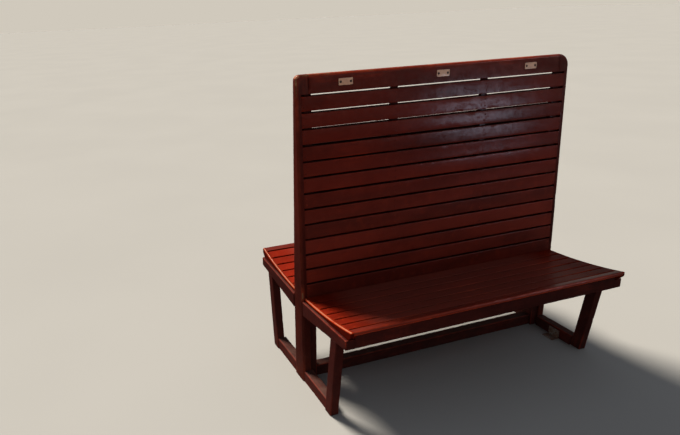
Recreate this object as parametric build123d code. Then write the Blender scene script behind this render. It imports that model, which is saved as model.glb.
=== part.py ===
from build123d import *
import math
import os

# Double-sided slatted bench seat of a railway passenger coach, three places a
# side.  Millimetres, +Z up.  X runs along the bench: the aisle end is at -X and
# the wall end at +X.  Y runs across it: the near seat is at -Y, the far seat at
# +Y.  The origin is on the floor, under the middle of the bench.

os.makedirs("parts", exist_ok=True)

# ---------------------------------------------------------------- overall sizes
LENGTH = 1280.0          # outer face of aisle end post to outer face of wall end post
HEIGHT = 1283.4          # floor to the top of the back
SEAT_HALF = 448.0        # bench centre to the front edge of a seat
HALF = LENGTH / 2

# ---------------------------------------------------------------- end frames
FRAME_T = 36.0           # outer layer: posts, legs and seat end rails, along X
STUD_T = 32.0            # inner layer: end studs and end bearers, along X
LIP = 22.0               # the slats are let in up to this far from the outer faces
POST_HALF = 46.0         # half width of a post, floor to seat
TOP_HALF = 15.6          # half width of the back at its top
TAPER_Z = 402.0          # height where the back starts to lean
HEAD_W = 50.0            # width of the post head beside the top rail
AISLE_CORNER_R = 22.0    # top corner of the aisle end post
WALL_CORNER_R = 48.0     # top corner of the wall end post
EDGE_R = 12.0            # rounding along the top of the back and of the outer edges

# ---------------------------------------------------------------- back
SLAT_T = 12.0            # thickness of a back slat
GAP_PITCH = 62.9         # distance between gaps in the back
GAP = 8.0                # height of a gap
GAP_COUNT = 13
FIRST_GAP = HEIGHT - 76.4    # centre height of the gap under the top rail
SLAT_EDGE_R = 2.5
SLAT_FOOT = 375.0        # foot of the lowest back slat
MID_STUD_X = 213.3       # the two inner studs stand between the places
MID_STUD_T = 30.0

# ---------------------------------------------------------------- seats
DISH_Z0 = 392.0          # seat top height = DISH_Z0 + DISH_K * y * y
DISH_K = 0.235 / 1000
SEAT_SLAT_T = 16.0
SEAT_GAP = 7.3
SEAT_PITCH = 60.3
FIRST_SEAT_GAP = 408.5   # y of the gap behind the front strip
SEAT_GAP_COUNT = 6
SEAT_INSET = 10.0        # the seat's end is this far inside the post's outer face
CAP_EDGE_R = 7.0
NOSE_R = 7.0
APRON_FRONT = 427.0
APRON_T = 25.0
RAIL_TOP = (375.0, 0.055)     # height at y = 0, slope
RAIL_BOTTOM = (309.7, 0.116)  # height at y = 0, slope
BEAM_HALF, BEAM_BOTTOM, BEAM_TOP = 30.0, 300.0, 370.0

# ---------------------------------------------------------------- feet
LEG_W = 50.0
LEG_FOOT = 252.0         # inner edge of a foot at the floor
LEG_SLOPE = 0.1465       # the legs lean outward going up
SILL_H, SILL_D = 50.0, 40.0
SILL_INSET = 4.0
STRETCHER_HALF, STRETCHER_H = 22.0, 50.0

# ---------------------------------------------------------------- fittings
PLATE_W, PLATE_H, PLATE_T = 60.0, 27.0, 1.6
PLATE_Z = 1247.0
PLACE_PITCH = 433.5
BRACKET_L, BRACKET_LEAF, BRACKET_T = 60.0, 40.0, 4.0
FLOOR_HOLE_R = 5.5
FLOOR_HOLE_X = HALF - SILL_INSET - SILL_D - 22.0
FLOOR_HOLE_Y = 160.0
WALL_HOLE_R = 5.5
WALL_HOLE_Y, WALL_HOLE_Z = 220.0, 362.0

LEAN = (POST_HALF - TOP_HALF) / (HEIGHT - TAPER_Z)
LEAN_DEG = math.degrees(math.atan(LEAN))
INNER_X = HALF - FRAME_T             # inner face of the outer layer
STUD_X = INNER_X - STUD_T            # inner face of the inner layer
SLAT_X = HALF - LIP                  # ends of the back and seat slats
RAIL_Z0 = FIRST_GAP + GAP / 2        # underside of the top rail


def half_at(z):
    """Half thickness of the back at height z."""
    return POST_HALF if z <= TAPER_Z else POST_HALF - LEAN * (z - TAPER_Z)


def seat_z(y):
    return DISH_Z0 + DISH_K * y * y


def line_z(line, y):
    return line[0] + line[1] * y


def outline(corners):
    """Face from rows of (u, v, corner radius)."""
    n = len(corners)
    stops = []
    for i, (u, v, r) in enumerate(corners):
        p = Vector(u, v)
        if r <= 0:
            stops.append((p, None, p))
            continue
        a = (Vector(*corners[i - 1][:2]) - p).normalized()
        b = (Vector(*corners[(i + 1) % n][:2]) - p).normalized()
        half = math.acos(max(-1, min(1, a.dot(b)))) / 2
        cut = r / math.tan(half)
        centre = p + (a + b).normalized() * (r / math.sin(half))
        mid = centre + (p - centre).normalized() * r
        stops.append((p + a * cut, mid, p + b * cut))
    edges = []
    for i in range(n):
        start, mid, end = stops[i]
        if mid is not None:
            edges.append(ThreePointArc(start, mid, end))
        nxt = stops[(i + 1) % n][0]
        if (nxt - end).length > 1e-6:
            edges.append(Line(end, nxt))
    return make_face(edges)


def prism_x(face, x0, x1):
    """Face drawn in Y and Z, run from x0 to x1."""
    return extrude(Plane.YZ.offset(min(x0, x1)) * face, amount=abs(x1 - x0))


def prism_y(face, y0, y1):
    """Face drawn in X and Z, run from y0 to y1."""
    return extrude(Plane.XZ.offset(-y1) * face, amount=y1 - y0)


def block(x0, x1, y0, y1, z0, z1):
    return Pos((x0 + x1) / 2, (y0 + y1) / 2, (z0 + z1) / 2) * Box(
        abs(x1 - x0), abs(y1 - y0), abs(z1 - z0))


def side(corners, s):
    """Mirror rows of (y, z, radius) to the near (-1) or far (+1) side."""
    rows = [(s * y, z, r) for y, z, r in corners]
    return rows if s > 0 else rows[::-1]


def bore_x(x0, x1, y, z, r):
    return Pos((x0 + x1) / 2, y, z) * Rot(0, 90, 0) * Cylinder(r, abs(x1 - x0))


def bore_z(x, y, z0, z1, r):
    return Pos(x, y, (z0 + z1) / 2) * Cylinder(r, z1 - z0)


parts = {}

# name, direction of the end along X, radius of its top corner
ENDS = [("aisle", -1, AISLE_CORNER_R), ("wall", 1, WALL_CORNER_R)]
# name, direction of the side along Y
SIDES = [("near", -1), ("far", 1)]

# ---------------------------------------------------------------- posts, studs
post_section = outline([
    (-POST_HALF, 0, 0), (POST_HALF, 0, 0), (POST_HALF, TAPER_Z, 0),
    (TOP_HALF, HEIGHT, 0), (-TOP_HALF, HEIGHT, 0), (-POST_HALF, TAPER_Z, 0)])
for end, sx, corner in ENDS:
    rows = [(HALF, 0, 0), (INNER_X, 0, 0), (INNER_X, RAIL_Z0, 0),
            (HALF - HEAD_W, RAIL_Z0, 0), (HALF - HEAD_W, HEIGHT, 0),
            (HALF, HEIGHT, 0)]
    rows = [(sx * x, z, r) for x, z, r in rows]
    if sx > 0:
        rows = rows[::-1]
    front = prism_y(outline(rows), -60, 60)
    post = prism_x(post_section, sx * HALF, sx * (HALF - HEAD_W)) & front
    post = fillet([e for e in post.edges()
                   if abs(e.center().Z - HEIGHT) < 0.01
                   and abs(e.center().X - sx * HALF) < 0.01], corner)
    # one rounding up both outer edges and over the top
    post = fillet([e for e in post.edges()
                   if abs(e.center().Y) > 5 and e.center().Z > 100
                   and (abs(e.center().X - sx * HALF) < 0.01
                        or (e.center().Z > HEIGHT - 60
                            and abs(e.center().X - sx * (HALF - HEAD_W)) > 1))],
                  EDGE_R)
    # rebates that take the ends of the back slats
    for s in (-1, 1):
        post -= prism_x(outline(side([
            (POST_HALF - SLAT_T, SLAT_FOOT, 0), (POST_HALF + 5, SLAT_FOOT, 0),
            (POST_HALF + 5, RAIL_Z0, 0), (half_at(RAIL_Z0) - SLAT_T, RAIL_Z0, 0),
            (POST_HALF - SLAT_T, TAPER_Z, 0)], s)), sx * INNER_X, sx * SLAT_X)
    parts[end + "_end_post"] = post

    stud_section = outline([
        (-(POST_HALF - SLAT_T), 0, 0), (POST_HALF - SLAT_T, 0, 0),
        (POST_HALF - SLAT_T, TAPER_Z, 0),
        (half_at(RAIL_Z0) - SLAT_T, RAIL_Z0, 0),
        (-(half_at(RAIL_Z0) - SLAT_T), RAIL_Z0, 0),
        (-(POST_HALF - SLAT_T), TAPER_Z, 0)])
    parts[end + "_end_stud"] = prism_x(stud_section, sx * INNER_X, sx * STUD_X)

    mid_section = outline([
        (-(POST_HALF - SLAT_T), BEAM_TOP, 0), (POST_HALF - SLAT_T, BEAM_TOP, 0),
        (POST_HALF - SLAT_T, TAPER_Z, 0),
        (half_at(RAIL_Z0) - SLAT_T, RAIL_Z0, 0),
        (-(half_at(RAIL_Z0) - SLAT_T), RAIL_Z0, 0),
        (-(POST_HALF - SLAT_T), TAPER_Z, 0)])
    parts[end + "_side_middle_stud"] = prism_x(
        mid_section, sx * MID_STUD_X - MID_STUD_T / 2,
        sx * MID_STUD_X + MID_STUD_T / 2)

# ---------------------------------------------------------------- back
parts["back_top_rail"] = prism_x(outline([
    (-half_at(RAIL_Z0), RAIL_Z0, 2), (half_at(RAIL_Z0), RAIL_Z0, 2),
    (TOP_HALF, HEIGHT, EDGE_R), (-TOP_HALF, HEIGHT, EDGE_R)]),
    -(HALF - HEAD_W), HALF - HEAD_W)

# the slats between the gaps, from the top down, then the one at the seat
slat_rows = []           # bottom height, top height
for i in range(GAP_COUNT - 1):
    top = FIRST_GAP - i * GAP_PITCH - GAP / 2
    slat_rows.append((top - (GAP_PITCH - GAP), top))
slat_rows.append((SLAT_FOOT, FIRST_GAP - (GAP_COUNT - 1) * GAP_PITCH - GAP / 2))
for name, s in SIDES:
    slats = []
    for z0, z1 in slat_rows:
        o0, o1 = half_at(z0), half_at(z1)
        rows = [(o0 - SLAT_T, z0, 0), (o0, z0, SLAT_EDGE_R)]
        if z0 < TAPER_Z < z1:
            rows = [(o0 - SLAT_T, z0, 0), (o0, z0, 0), (o0, TAPER_Z, 0)]
        rows.append((o1, z1, SLAT_EDGE_R))
        rows.append((o1 - SLAT_T, z1, 0))
        if z0 < TAPER_Z < z1:
            rows.append((o0 - SLAT_T, TAPER_Z, 0))
        slats.append(prism_x(outline(side(rows, s)), -SLAT_X, SLAT_X))
    parts["back_slats_" + name] = Compound(children=slats)

# ---------------------------------------------------------------- seats
# each seat slat: y of its rear edge, y of its front edge
seat_rows = []
edge = FIRST_SEAT_GAP
for i in range(SEAT_GAP_COUNT):
    front_y = edge - i * SEAT_PITCH - SEAT_GAP / 2
    rear_y = (edge - (i + 1) * SEAT_PITCH + SEAT_GAP / 2
              if i < SEAT_GAP_COUNT - 1 else POST_HALF)
    seat_rows.append((rear_y, front_y))


def slat_corners(y0, y1):
    """Four corners of a seat slat: rear top, front top, front foot, rear foot."""
    z0, z1 = seat_z(y0), seat_z(y1)
    d = math.hypot(y1 - y0, z1 - z0)
    ny, nz = -(z1 - z0) / d, (y1 - y0) / d
    t = SEAT_SLAT_T
    return ((y0, z0), (y1, z1), (y1 - t * ny, z1 - t * nz),
            (y0 - t * ny, z0 - t * nz))


nose = slat_corners(FIRST_SEAT_GAP + SEAT_GAP / 2, SEAT_HALF)
nose_slope = (nose[2][1] - nose[3][1]) / (nose[2][0] - nose[3][0])
# the front strip's front face is upright
nose = (nose[0], nose[1],
        (SEAT_HALF, nose[3][1] + nose_slope * (SEAT_HALF - nose[3][0])), nose[3])
rear = slat_corners(*seat_rows[-1])
for name, s in SIDES:
    slats = []
    for y0, y1 in seat_rows:
        a, b, c, d = slat_corners(y0, y1)
        if y0 == POST_HALF:          # the last slat meets the back upright
            d = (POST_HALF, d[1])
        slats.append(prism_x(outline(side([
            (*d, 0), (*c, 0), (*b, 2.5), (*a, 2.5 if y0 > POST_HALF else 0)], s)),
            -SLAT_X, SLAT_X))
    parts["seat_slats_" + name] = Compound(children=slats)
    a, b, c, d = nose
    parts["seat_front_strip_" + name] = prism_x(outline(side([
        (*d, 0), (*c, NOSE_R), (*b, NOSE_R), (*a, 2.5)], s)), -SLAT_X, SLAT_X)

# top of a bearer: under each seat slat in turn, from the rear
under = []
for y0, y1 in seat_rows[::-1]:
    a, b, c, d = slat_corners(y0, y1)
    if y0 > POST_HALF:
        under.append((*d, 0))
    under.append((*c, 0))
apron_back = APRON_FRONT - APRON_T
# the part of the top that ends at the apron's back
cut = []
for i, row in enumerate(under):
    if row[0] >= apron_back:
        y_a, z_a, _ = under[i - 1]
        k = (apron_back - y_a) / (row[0] - y_a)
        cut.append((apron_back, z_a + k * (row[1] - z_a), 0))
        break
    cut.append(row)
rear_foot = slat_corners(*seat_rows[-1])[3][1]

nose_y, nose_z = nose[3][0], nose[3][1]
apron_top_front = nose_z + nose_slope * (APRON_FRONT - nose_y)
last = under[-1]
# the space that the seat slats and the front strip lie in
bed = [(POST_HALF, rear_foot, 0), *under, (nose_y, nose_z, 0),
       (SEAT_HALF, nose[2][1], 0), (SEAT_HALF + 5, nose[2][1], 0),
       (SEAT_HALF + 5, 480, 0), (POST_HALF, 480, 0)]

for name, s in SIDES:
    # apron: stands between the end rails, under the front strip
    parts["seat_apron_" + name] = prism_x(outline(side([
        (apron_back, line_z(RAIL_BOTTOM, apron_back), 0),
        (APRON_FRONT, line_z(RAIL_BOTTOM, apron_back), 3),
        (APRON_FRONT, apron_top_front, 0),
        (nose_y, nose_z, 0),
        (last[0], last[1], 0),
        (apron_back, cut[-1][1], 0)], s)), -INNER_X, INNER_X)

    for end, sx, _ in ENDS:
        tag = end + "_" + name
        # end rail: straight top and bottom edges
        rail = prism_x(outline(side([
            (POST_HALF, line_z(RAIL_BOTTOM, POST_HALF), 0),
            (APRON_FRONT, line_z(RAIL_BOTTOM, APRON_FRONT), 3),
            (APRON_FRONT, line_z(RAIL_TOP, APRON_FRONT), 0),
            (POST_HALF, line_z(RAIL_TOP, POST_HALF), 0)], s)),
            sx * HALF, sx * INNER_X)
        # cap: dished top, straight foot on the rail
        mid_y = (POST_HALF + SEAT_HALF) / 2
        dish = [
            Line((s * POST_HALF, line_z(RAIL_TOP, POST_HALF)),
                 (s * (APRON_FRONT - 3), line_z(RAIL_TOP, APRON_FRONT - 3))),
            Line((s * (APRON_FRONT - 3), line_z(RAIL_TOP, APRON_FRONT - 3)),
                 (s * SEAT_HALF, seat_z(SEAT_HALF) - 18)),
            Line((s * SEAT_HALF, seat_z(SEAT_HALF) - 18),
                 (s * SEAT_HALF, seat_z(SEAT_HALF))),
            ThreePointArc((s * SEAT_HALF, seat_z(SEAT_HALF)),
                          (s * mid_y, seat_z(mid_y)),
                          (s * POST_HALF, seat_z(POST_HALF))),
            Line((s * POST_HALF, seat_z(POST_HALF)),
                 (s * POST_HALF, line_z(RAIL_TOP, POST_HALF)))]
        cap = prism_x(make_face(dish), sx * (HALF - SEAT_INSET), sx * INNER_X)
        worn = [e for e in cap.edges()
                if abs(e.center().X - sx * (HALF - SEAT_INSET)) < 0.01
                and e.length > 350 and e.geom_type == GeomType.CIRCLE]
        cap = fillet(worn, CAP_EDGE_R)
        # rail and cap are let down under the ends of the slats
        room = prism_x(outline(side(bed, s)), sx * INNER_X, sx * SLAT_X)
        rail -= room
        cap -= room
        # end bearer: under the slats, inside the rail
        bearer = prism_x(outline(side([
            (POST_HALF - SLAT_T, line_z(RAIL_BOTTOM, POST_HALF), 0),
            (POST_HALF, line_z(RAIL_BOTTOM, POST_HALF), 0),
            (apron_back, line_z(RAIL_BOTTOM, apron_back), 0),
            *cut[::-1],
            (POST_HALF, rear_foot, 0), (POST_HALF, SLAT_FOOT, 0),
            (POST_HALF - SLAT_T, SLAT_FOOT, 0)], s)),
            sx * INNER_X, sx * STUD_X)
        if end == "wall":
            bore = bore_x(sx * (STUD_X - 5), sx * (HALF + 5),
                          s * WALL_HOLE_Y, WALL_HOLE_Z, WALL_HOLE_R)
            rail -= bore
            bearer -= bore
        parts["seat_end_rail_" + tag] = rail
        parts["seat_end_cap_" + tag] = cap
        parts["seat_end_bearer_" + tag] = bearer
        # middle bearer: from the centre beam to the apron
        parts["seat_middle_bearer_" + tag] = prism_x(outline(side([
            (BEAM_HALF, line_z(RAIL_BOTTOM, POST_HALF), 0),
            (POST_HALF, line_z(RAIL_BOTTOM, POST_HALF), 0),
            (apron_back, line_z(RAIL_BOTTOM, apron_back), 0),
            *cut[::-1],
            (POST_HALF, rear_foot, 0), (POST_HALF, SLAT_FOOT, 0),
            (POST_HALF - SLAT_T, SLAT_FOOT, 0),
            (POST_HALF - SLAT_T, BEAM_TOP, 0), (BEAM_HALF, BEAM_TOP, 0)], s)),
            sx * MID_STUD_X - MID_STUD_T / 2, sx * MID_STUD_X + MID_STUD_T / 2)

        # leg: leans outward up to the underside of the rail
        feet = []
        for y_foot in (LEG_FOOT, LEG_FOOT + LEG_W):
            z = ((RAIL_BOTTOM[0] + RAIL_BOTTOM[1] * y_foot)
                 / (1 - RAIL_BOTTOM[1] * LEG_SLOPE))
            feet.append((y_foot + LEG_SLOPE * z, z, 0))
        parts["leg_" + tag] = prism_x(outline(side([
            (LEG_FOOT, 0, 0), (LEG_FOOT + LEG_W, 0, 0), feet[1], feet[0]], s)),
            sx * HALF, sx * INNER_X)
        # sill: on the floor between the post and the leg
        parts["floor_sill_" + tag] = prism_x(outline(side([
            (POST_HALF, 0, 0), (LEG_FOOT, 0, 0),
            (LEG_FOOT + LEG_SLOPE * SILL_H, SILL_H, 0),
            (POST_HALF, SILL_H, 0)], s)),
            sx * (HALF - SILL_INSET), sx * (HALF - SILL_INSET - SILL_D))

# ---------------------------------------------------------------- long members
parts["centre_beam"] = block(-STUD_X, STUD_X, -BEAM_HALF, BEAM_HALF,
                             BEAM_BOTTOM, BEAM_TOP)
parts["floor_stretcher"] = block(-STUD_X, STUD_X, -STRETCHER_HALF,
                                 STRETCHER_HALF, 0, STRETCHER_H)

# ---------------------------------------------------------------- fittings
for name, s in SIDES:
    plates = []
    for k in (-1, 0, 1):
        plate = extrude(RectangleRounded(PLATE_W, PLATE_H, 3), amount=PLATE_T)
        tilt = Rot(90 - LEAN_DEG, 0, 0) if s < 0 else (
            Rot(0, 0, 180) * Rot(90 - LEAN_DEG, 0, 0))
        plates.append(Pos(k * PLACE_PITCH, s * half_at(PLATE_Z), PLATE_Z)
                      * tilt * plate)
    parts["number_plates_" + name] = Compound(children=plates)

for end, sx, _ in ENDS:
    brackets = []
    face_x = HALF - SILL_INSET - SILL_D      # inner face of the sill
    for _, s in SIDES:
        y0, y1 = (s * FLOOR_HOLE_Y - BRACKET_L / 2,
                  s * FLOOR_HOLE_Y + BRACKET_L / 2)
        foot = block(sx * face_x, sx * (face_x - BRACKET_LEAF), y0, y1,
                     0, BRACKET_T)
        leaf = block(sx * face_x, sx * (face_x - BRACKET_T), y0, y1,
                     0, BRACKET_LEAF)
        angle = foot + leaf
        angle -= bore_z(sx * FLOOR_HOLE_X, s * FLOOR_HOLE_Y, -2,
                        BRACKET_T + 2, FLOOR_HOLE_R)
        brackets.append(angle)
    parts["floor_brackets_" + end] = Compound(children=brackets)

# ---------------------------------------------------------------- write
for node, shape in parts.items():
    export_step(shape, "parts/" + node + ".step")
print(len(parts), "nodes")
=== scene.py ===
import math

import bmesh
import bpy
import numpy as np
from mathutils import Matrix, Vector


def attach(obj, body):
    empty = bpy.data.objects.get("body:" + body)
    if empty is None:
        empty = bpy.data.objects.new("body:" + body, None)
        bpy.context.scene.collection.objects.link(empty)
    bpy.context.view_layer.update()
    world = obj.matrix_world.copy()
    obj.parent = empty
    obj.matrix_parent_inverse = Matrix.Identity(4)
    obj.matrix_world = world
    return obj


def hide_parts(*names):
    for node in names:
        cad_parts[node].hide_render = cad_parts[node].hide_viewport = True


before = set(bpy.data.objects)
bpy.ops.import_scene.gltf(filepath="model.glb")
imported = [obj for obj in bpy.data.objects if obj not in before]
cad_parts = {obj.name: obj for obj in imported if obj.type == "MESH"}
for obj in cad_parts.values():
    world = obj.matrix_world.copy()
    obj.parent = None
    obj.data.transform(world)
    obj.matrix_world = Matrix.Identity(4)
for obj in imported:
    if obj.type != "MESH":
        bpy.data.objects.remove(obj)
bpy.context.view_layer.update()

# Double-sided slatted bench seat of a railway coach.  The wooden pieces are
# made here as boards with rounded edges, small dents and a thick old coat of
# paint, each where its construction node is.  Lengths in the tables are in
# millimetres, and the meshes are in metres.

# ------------------------------------------------------------------- camera
# where the photograph was taken from, and turned as it was; the longer lens
# makes the bench larger, and the shift keeps it in the frame
CAMERA_AT = (-1.543, -2.162, 1.533)
CAMERA_YAW, CAMERA_PITCH, CAMERA_ROLL = 18.9995, 18.8270, 2.3668
CAMERA_LENS, CAMERA_SHIFT = 33.0, 0.12

yaw, pitch, roll = (math.radians(a) for a in (CAMERA_YAW, CAMERA_PITCH, CAMERA_ROLL))
ahead = Vector((math.sin(yaw) * math.cos(pitch), math.cos(yaw) * math.cos(pitch),
                -math.sin(pitch)))
level = Vector((math.cos(yaw), -math.sin(yaw), 0))
under = ahead.cross(level)
right = level * math.cos(roll) + under * math.sin(roll)
down = under * math.cos(roll) - level * math.sin(roll)
camera = bpy.data.objects.new("camera", bpy.data.cameras.new("camera"))
camera.data.lens, camera.data.shift_x = CAMERA_LENS, CAMERA_SHIFT
camera.data.sensor_width = 36
camera.data.clip_start, camera.data.clip_end = 0.05, 400
camera.matrix_world = (Matrix.Translation(CAMERA_AT)
                       @ Matrix((right, -down, -ahead)).transposed().to_4x4())
bpy.context.scene.collection.objects.link(camera)
bpy.context.scene.camera = camera

# ------------------------------------------------------------ sizes, as built
LENGTH, HEIGHT, SEAT_HALF = 1280.0, 1283.4, 448.0
HALF = LENGTH / 2
FRAME_T, STUD_T = 36.0, 32.0
POST_HALF, TOP_HALF, TAPER_Z, HEAD_W = 46.0, 15.6, 402.0, 50.0
CORNER_R = {"aisle": 22.0, "wall": 48.0}
EDGE_R = 12.0
SLAT_T, GAP_PITCH, GAP, GAP_COUNT = 12.0, 62.9, 8.0, 13
FIRST_GAP = HEIGHT - 76.4
MID_STUD_X, MID_STUD_T = 213.3, 30.0
DISH_Z0, DISH_K = 392.0, 0.235 / 1000
SEAT_SLAT_T, SEAT_GAP, SEAT_PITCH = 16.0, 7.3, 60.3
FIRST_SEAT_GAP, SEAT_GAP_COUNT = 408.5, 6
SEAT_INSET, APRON_FRONT, APRON_T = 10.0, 427.0, 25.0
RAIL_TOP, RAIL_BOTTOM = (375.0, 0.055), (309.7, 0.116)
BEAM_HALF, BEAM_BOTTOM, BEAM_TOP = 30.0, 300.0, 370.0
LEG_W, LEG_FOOT, LEG_SLOPE = 50.0, 252.0, 0.1465
SILL_H, SILL_D, SILL_INSET = 50.0, 40.0, 4.0
STRETCHER_HALF, STRETCHER_H = 22.0, 50.0
SLAT_FOOT = 375.0
PLATE_W, PLATE_H, PLATE_T, PLATE_Z, PLACE_PITCH = 60.0, 27.0, 1.6, 1247.0, 433.5
BRACKET_L, BRACKET_LEAF, BRACKET_T = 60.0, 40.0, 4.0
FLOOR_HOLE_R, FLOOR_HOLE_Y = 5.5, 160.0
FLOOR_HOLE_X = HALF - SILL_INSET - SILL_D - 22.0
WALL_HOLE_R, WALL_HOLE_Y, WALL_HOLE_Z = 5.5, 220.0, 362.0
LEAN = (POST_HALF - TOP_HALF) / (HEIGHT - TAPER_Z)
INNER_X = HALF - FRAME_T
STUD_X = INNER_X - STUD_T
SLAT_X = HALF - 22.0             # ends of the slats, let into posts and caps
RAIL_Z0 = FIRST_GAP + GAP / 2
ENDS = [("aisle", -1), ("wall", 1)]
SIDES = [("near", -1), ("far", 1)]


def half_at(z):
    return np.where(np.asarray(z) <= TAPER_Z, POST_HALF,
                    POST_HALF - LEAN * (np.asarray(z) - TAPER_Z))


def seat_z(y):
    return DISH_Z0 + DISH_K * y * y


def line_z(line, y):
    return line[0] + line[1] * y


# --------------------------------------------------------------- small helpers
def lattice(i, seed):
    """One number in -1..1 for each lattice point, the same every run."""
    h = (i[:, 0] * 374761393 + i[:, 1] * 668265263 + i[:, 2] * 1440670441
         + seed * 974634777) & 0xFFFFFFFF
    h = ((h ^ (h >> 13)) * 1274126177) & 0xFFFFFFFF
    h = ((h ^ (h >> 16)) * 668265263) & 0xFFFFFFFF
    return (h ^ (h >> 15)) / 4294967295.0 * 2 - 1


def vnoise(p, seed=0):
    """Smooth noise in -1..1 at the rows of p."""
    cell = np.floor(p).astype(np.int64)
    f = p - cell
    f = f * f * (3 - 2 * f)
    out = np.zeros(len(p))
    for dx in (0, 1):
        for dy in (0, 1):
            for dz in (0, 1):
                w = ((f[:, 0] if dx else 1 - f[:, 0])
                     * (f[:, 1] if dy else 1 - f[:, 1])
                     * (f[:, 2] if dz else 1 - f[:, 2]))
                out += w * lattice(cell + (dx, dy, dz), seed)
    return out


def rand(seed, low=0.0, high=1.0):
    v = float(lattice(np.array([[seed, 17, 5]], np.int64), 91)[0])
    return low + (high - low) * (v + 1) / 2


def smooth(x, low, high):
    t = np.clip((np.asarray(x, float) - low) / (high - low), 0, 1)
    return t * t * (3 - 2 * t)


def moved_in(pts, e):
    """Polygon with side i moved inward by e[i].  Counter-clockwise."""
    out = []
    for i in range(len(pts)):
        a, b = pts[i] - pts[i - 1], pts[(i + 1) % len(pts)] - pts[i]
        na = np.array([-a[1], a[0]]) / np.hypot(*a)
        nb = np.array([-b[1], b[0]]) / np.hypot(*b)
        ea, eb = e[i - 1], e[i]
        cross = na[0] * nb[1] - na[1] * nb[0]
        if abs(cross) < 0.05:
            out.append(pts[i] + (na + nb) * (ea + eb) / 2 / (1 + na @ nb))
        else:
            out.append(pts[i] + np.array([ea * nb[1] - eb * na[1],
                                          eb * na[0] - ea * nb[0]]) / cross)
    return np.array(out)


def profile(pts, radii, segs, subs, inset=0.0, sides=None):
    """Rounded section: each corner an arc, each side cut into subs + 1 runs."""
    pts = np.asarray(pts, float)
    n = len(pts)
    sides = sides or [1] * n
    q = moved_in(pts, [inset * k for k in sides]) if inset else pts
    arcs = []
    for i in range(n):
        p = q[i]
        a, b = q[i - 1] - p, q[(i + 1) % n] - p
        a, b = a / np.hypot(*a), b / np.hypot(*b)
        convex = a[0] * b[1] - a[1] * b[0] < 0
        less = inset * (sides[i] and sides[i - 1])
        r = max(radii[i] - less, 0.05) if convex else radii[i] + less
        half = math.acos(max(-1, min(1, a @ b))) / 2
        if half > math.radians(88.5):      # almost straight: one point
            arcs.append([p] * (segs + 1))
            continue
        centre = p + (a + b) / np.hypot(*(a + b)) * (r / math.sin(half))
        s, e = p + a * r / math.tan(half) - centre, p + b * r / math.tan(half) - centre
        t0, t1 = math.atan2(s[1], s[0]), math.atan2(e[1], e[0])
        turn = (t1 - t0 + math.pi) % (2 * math.pi) - math.pi
        arcs.append([centre + r * np.array([math.cos(t0 + turn * k / segs),
                                            math.sin(t0 + turn * k / segs)])
                     for k in range(segs + 1)])
    out = []
    for i in range(n):
        out += arcs[i]
        start, end = arcs[i][-1], arcs[(i + 1) % n][0]
        out += [start + (end - start) * (k + 1) / (subs[i] + 1) for k in range(subs[i])]
    return np.array(out)


def steps(a, b, step, also=()):
    n = max(1, int(round(abs(b - a) / step)))
    values = list(np.linspace(a, b, n + 1))
    for x in also:
        if min(a, b) < x < max(a, b):
            values[int(np.argmin([abs(v - x) if 0 < k < n else 1e9
                                  for k, v in enumerate(values)]))] = x
    return values


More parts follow.
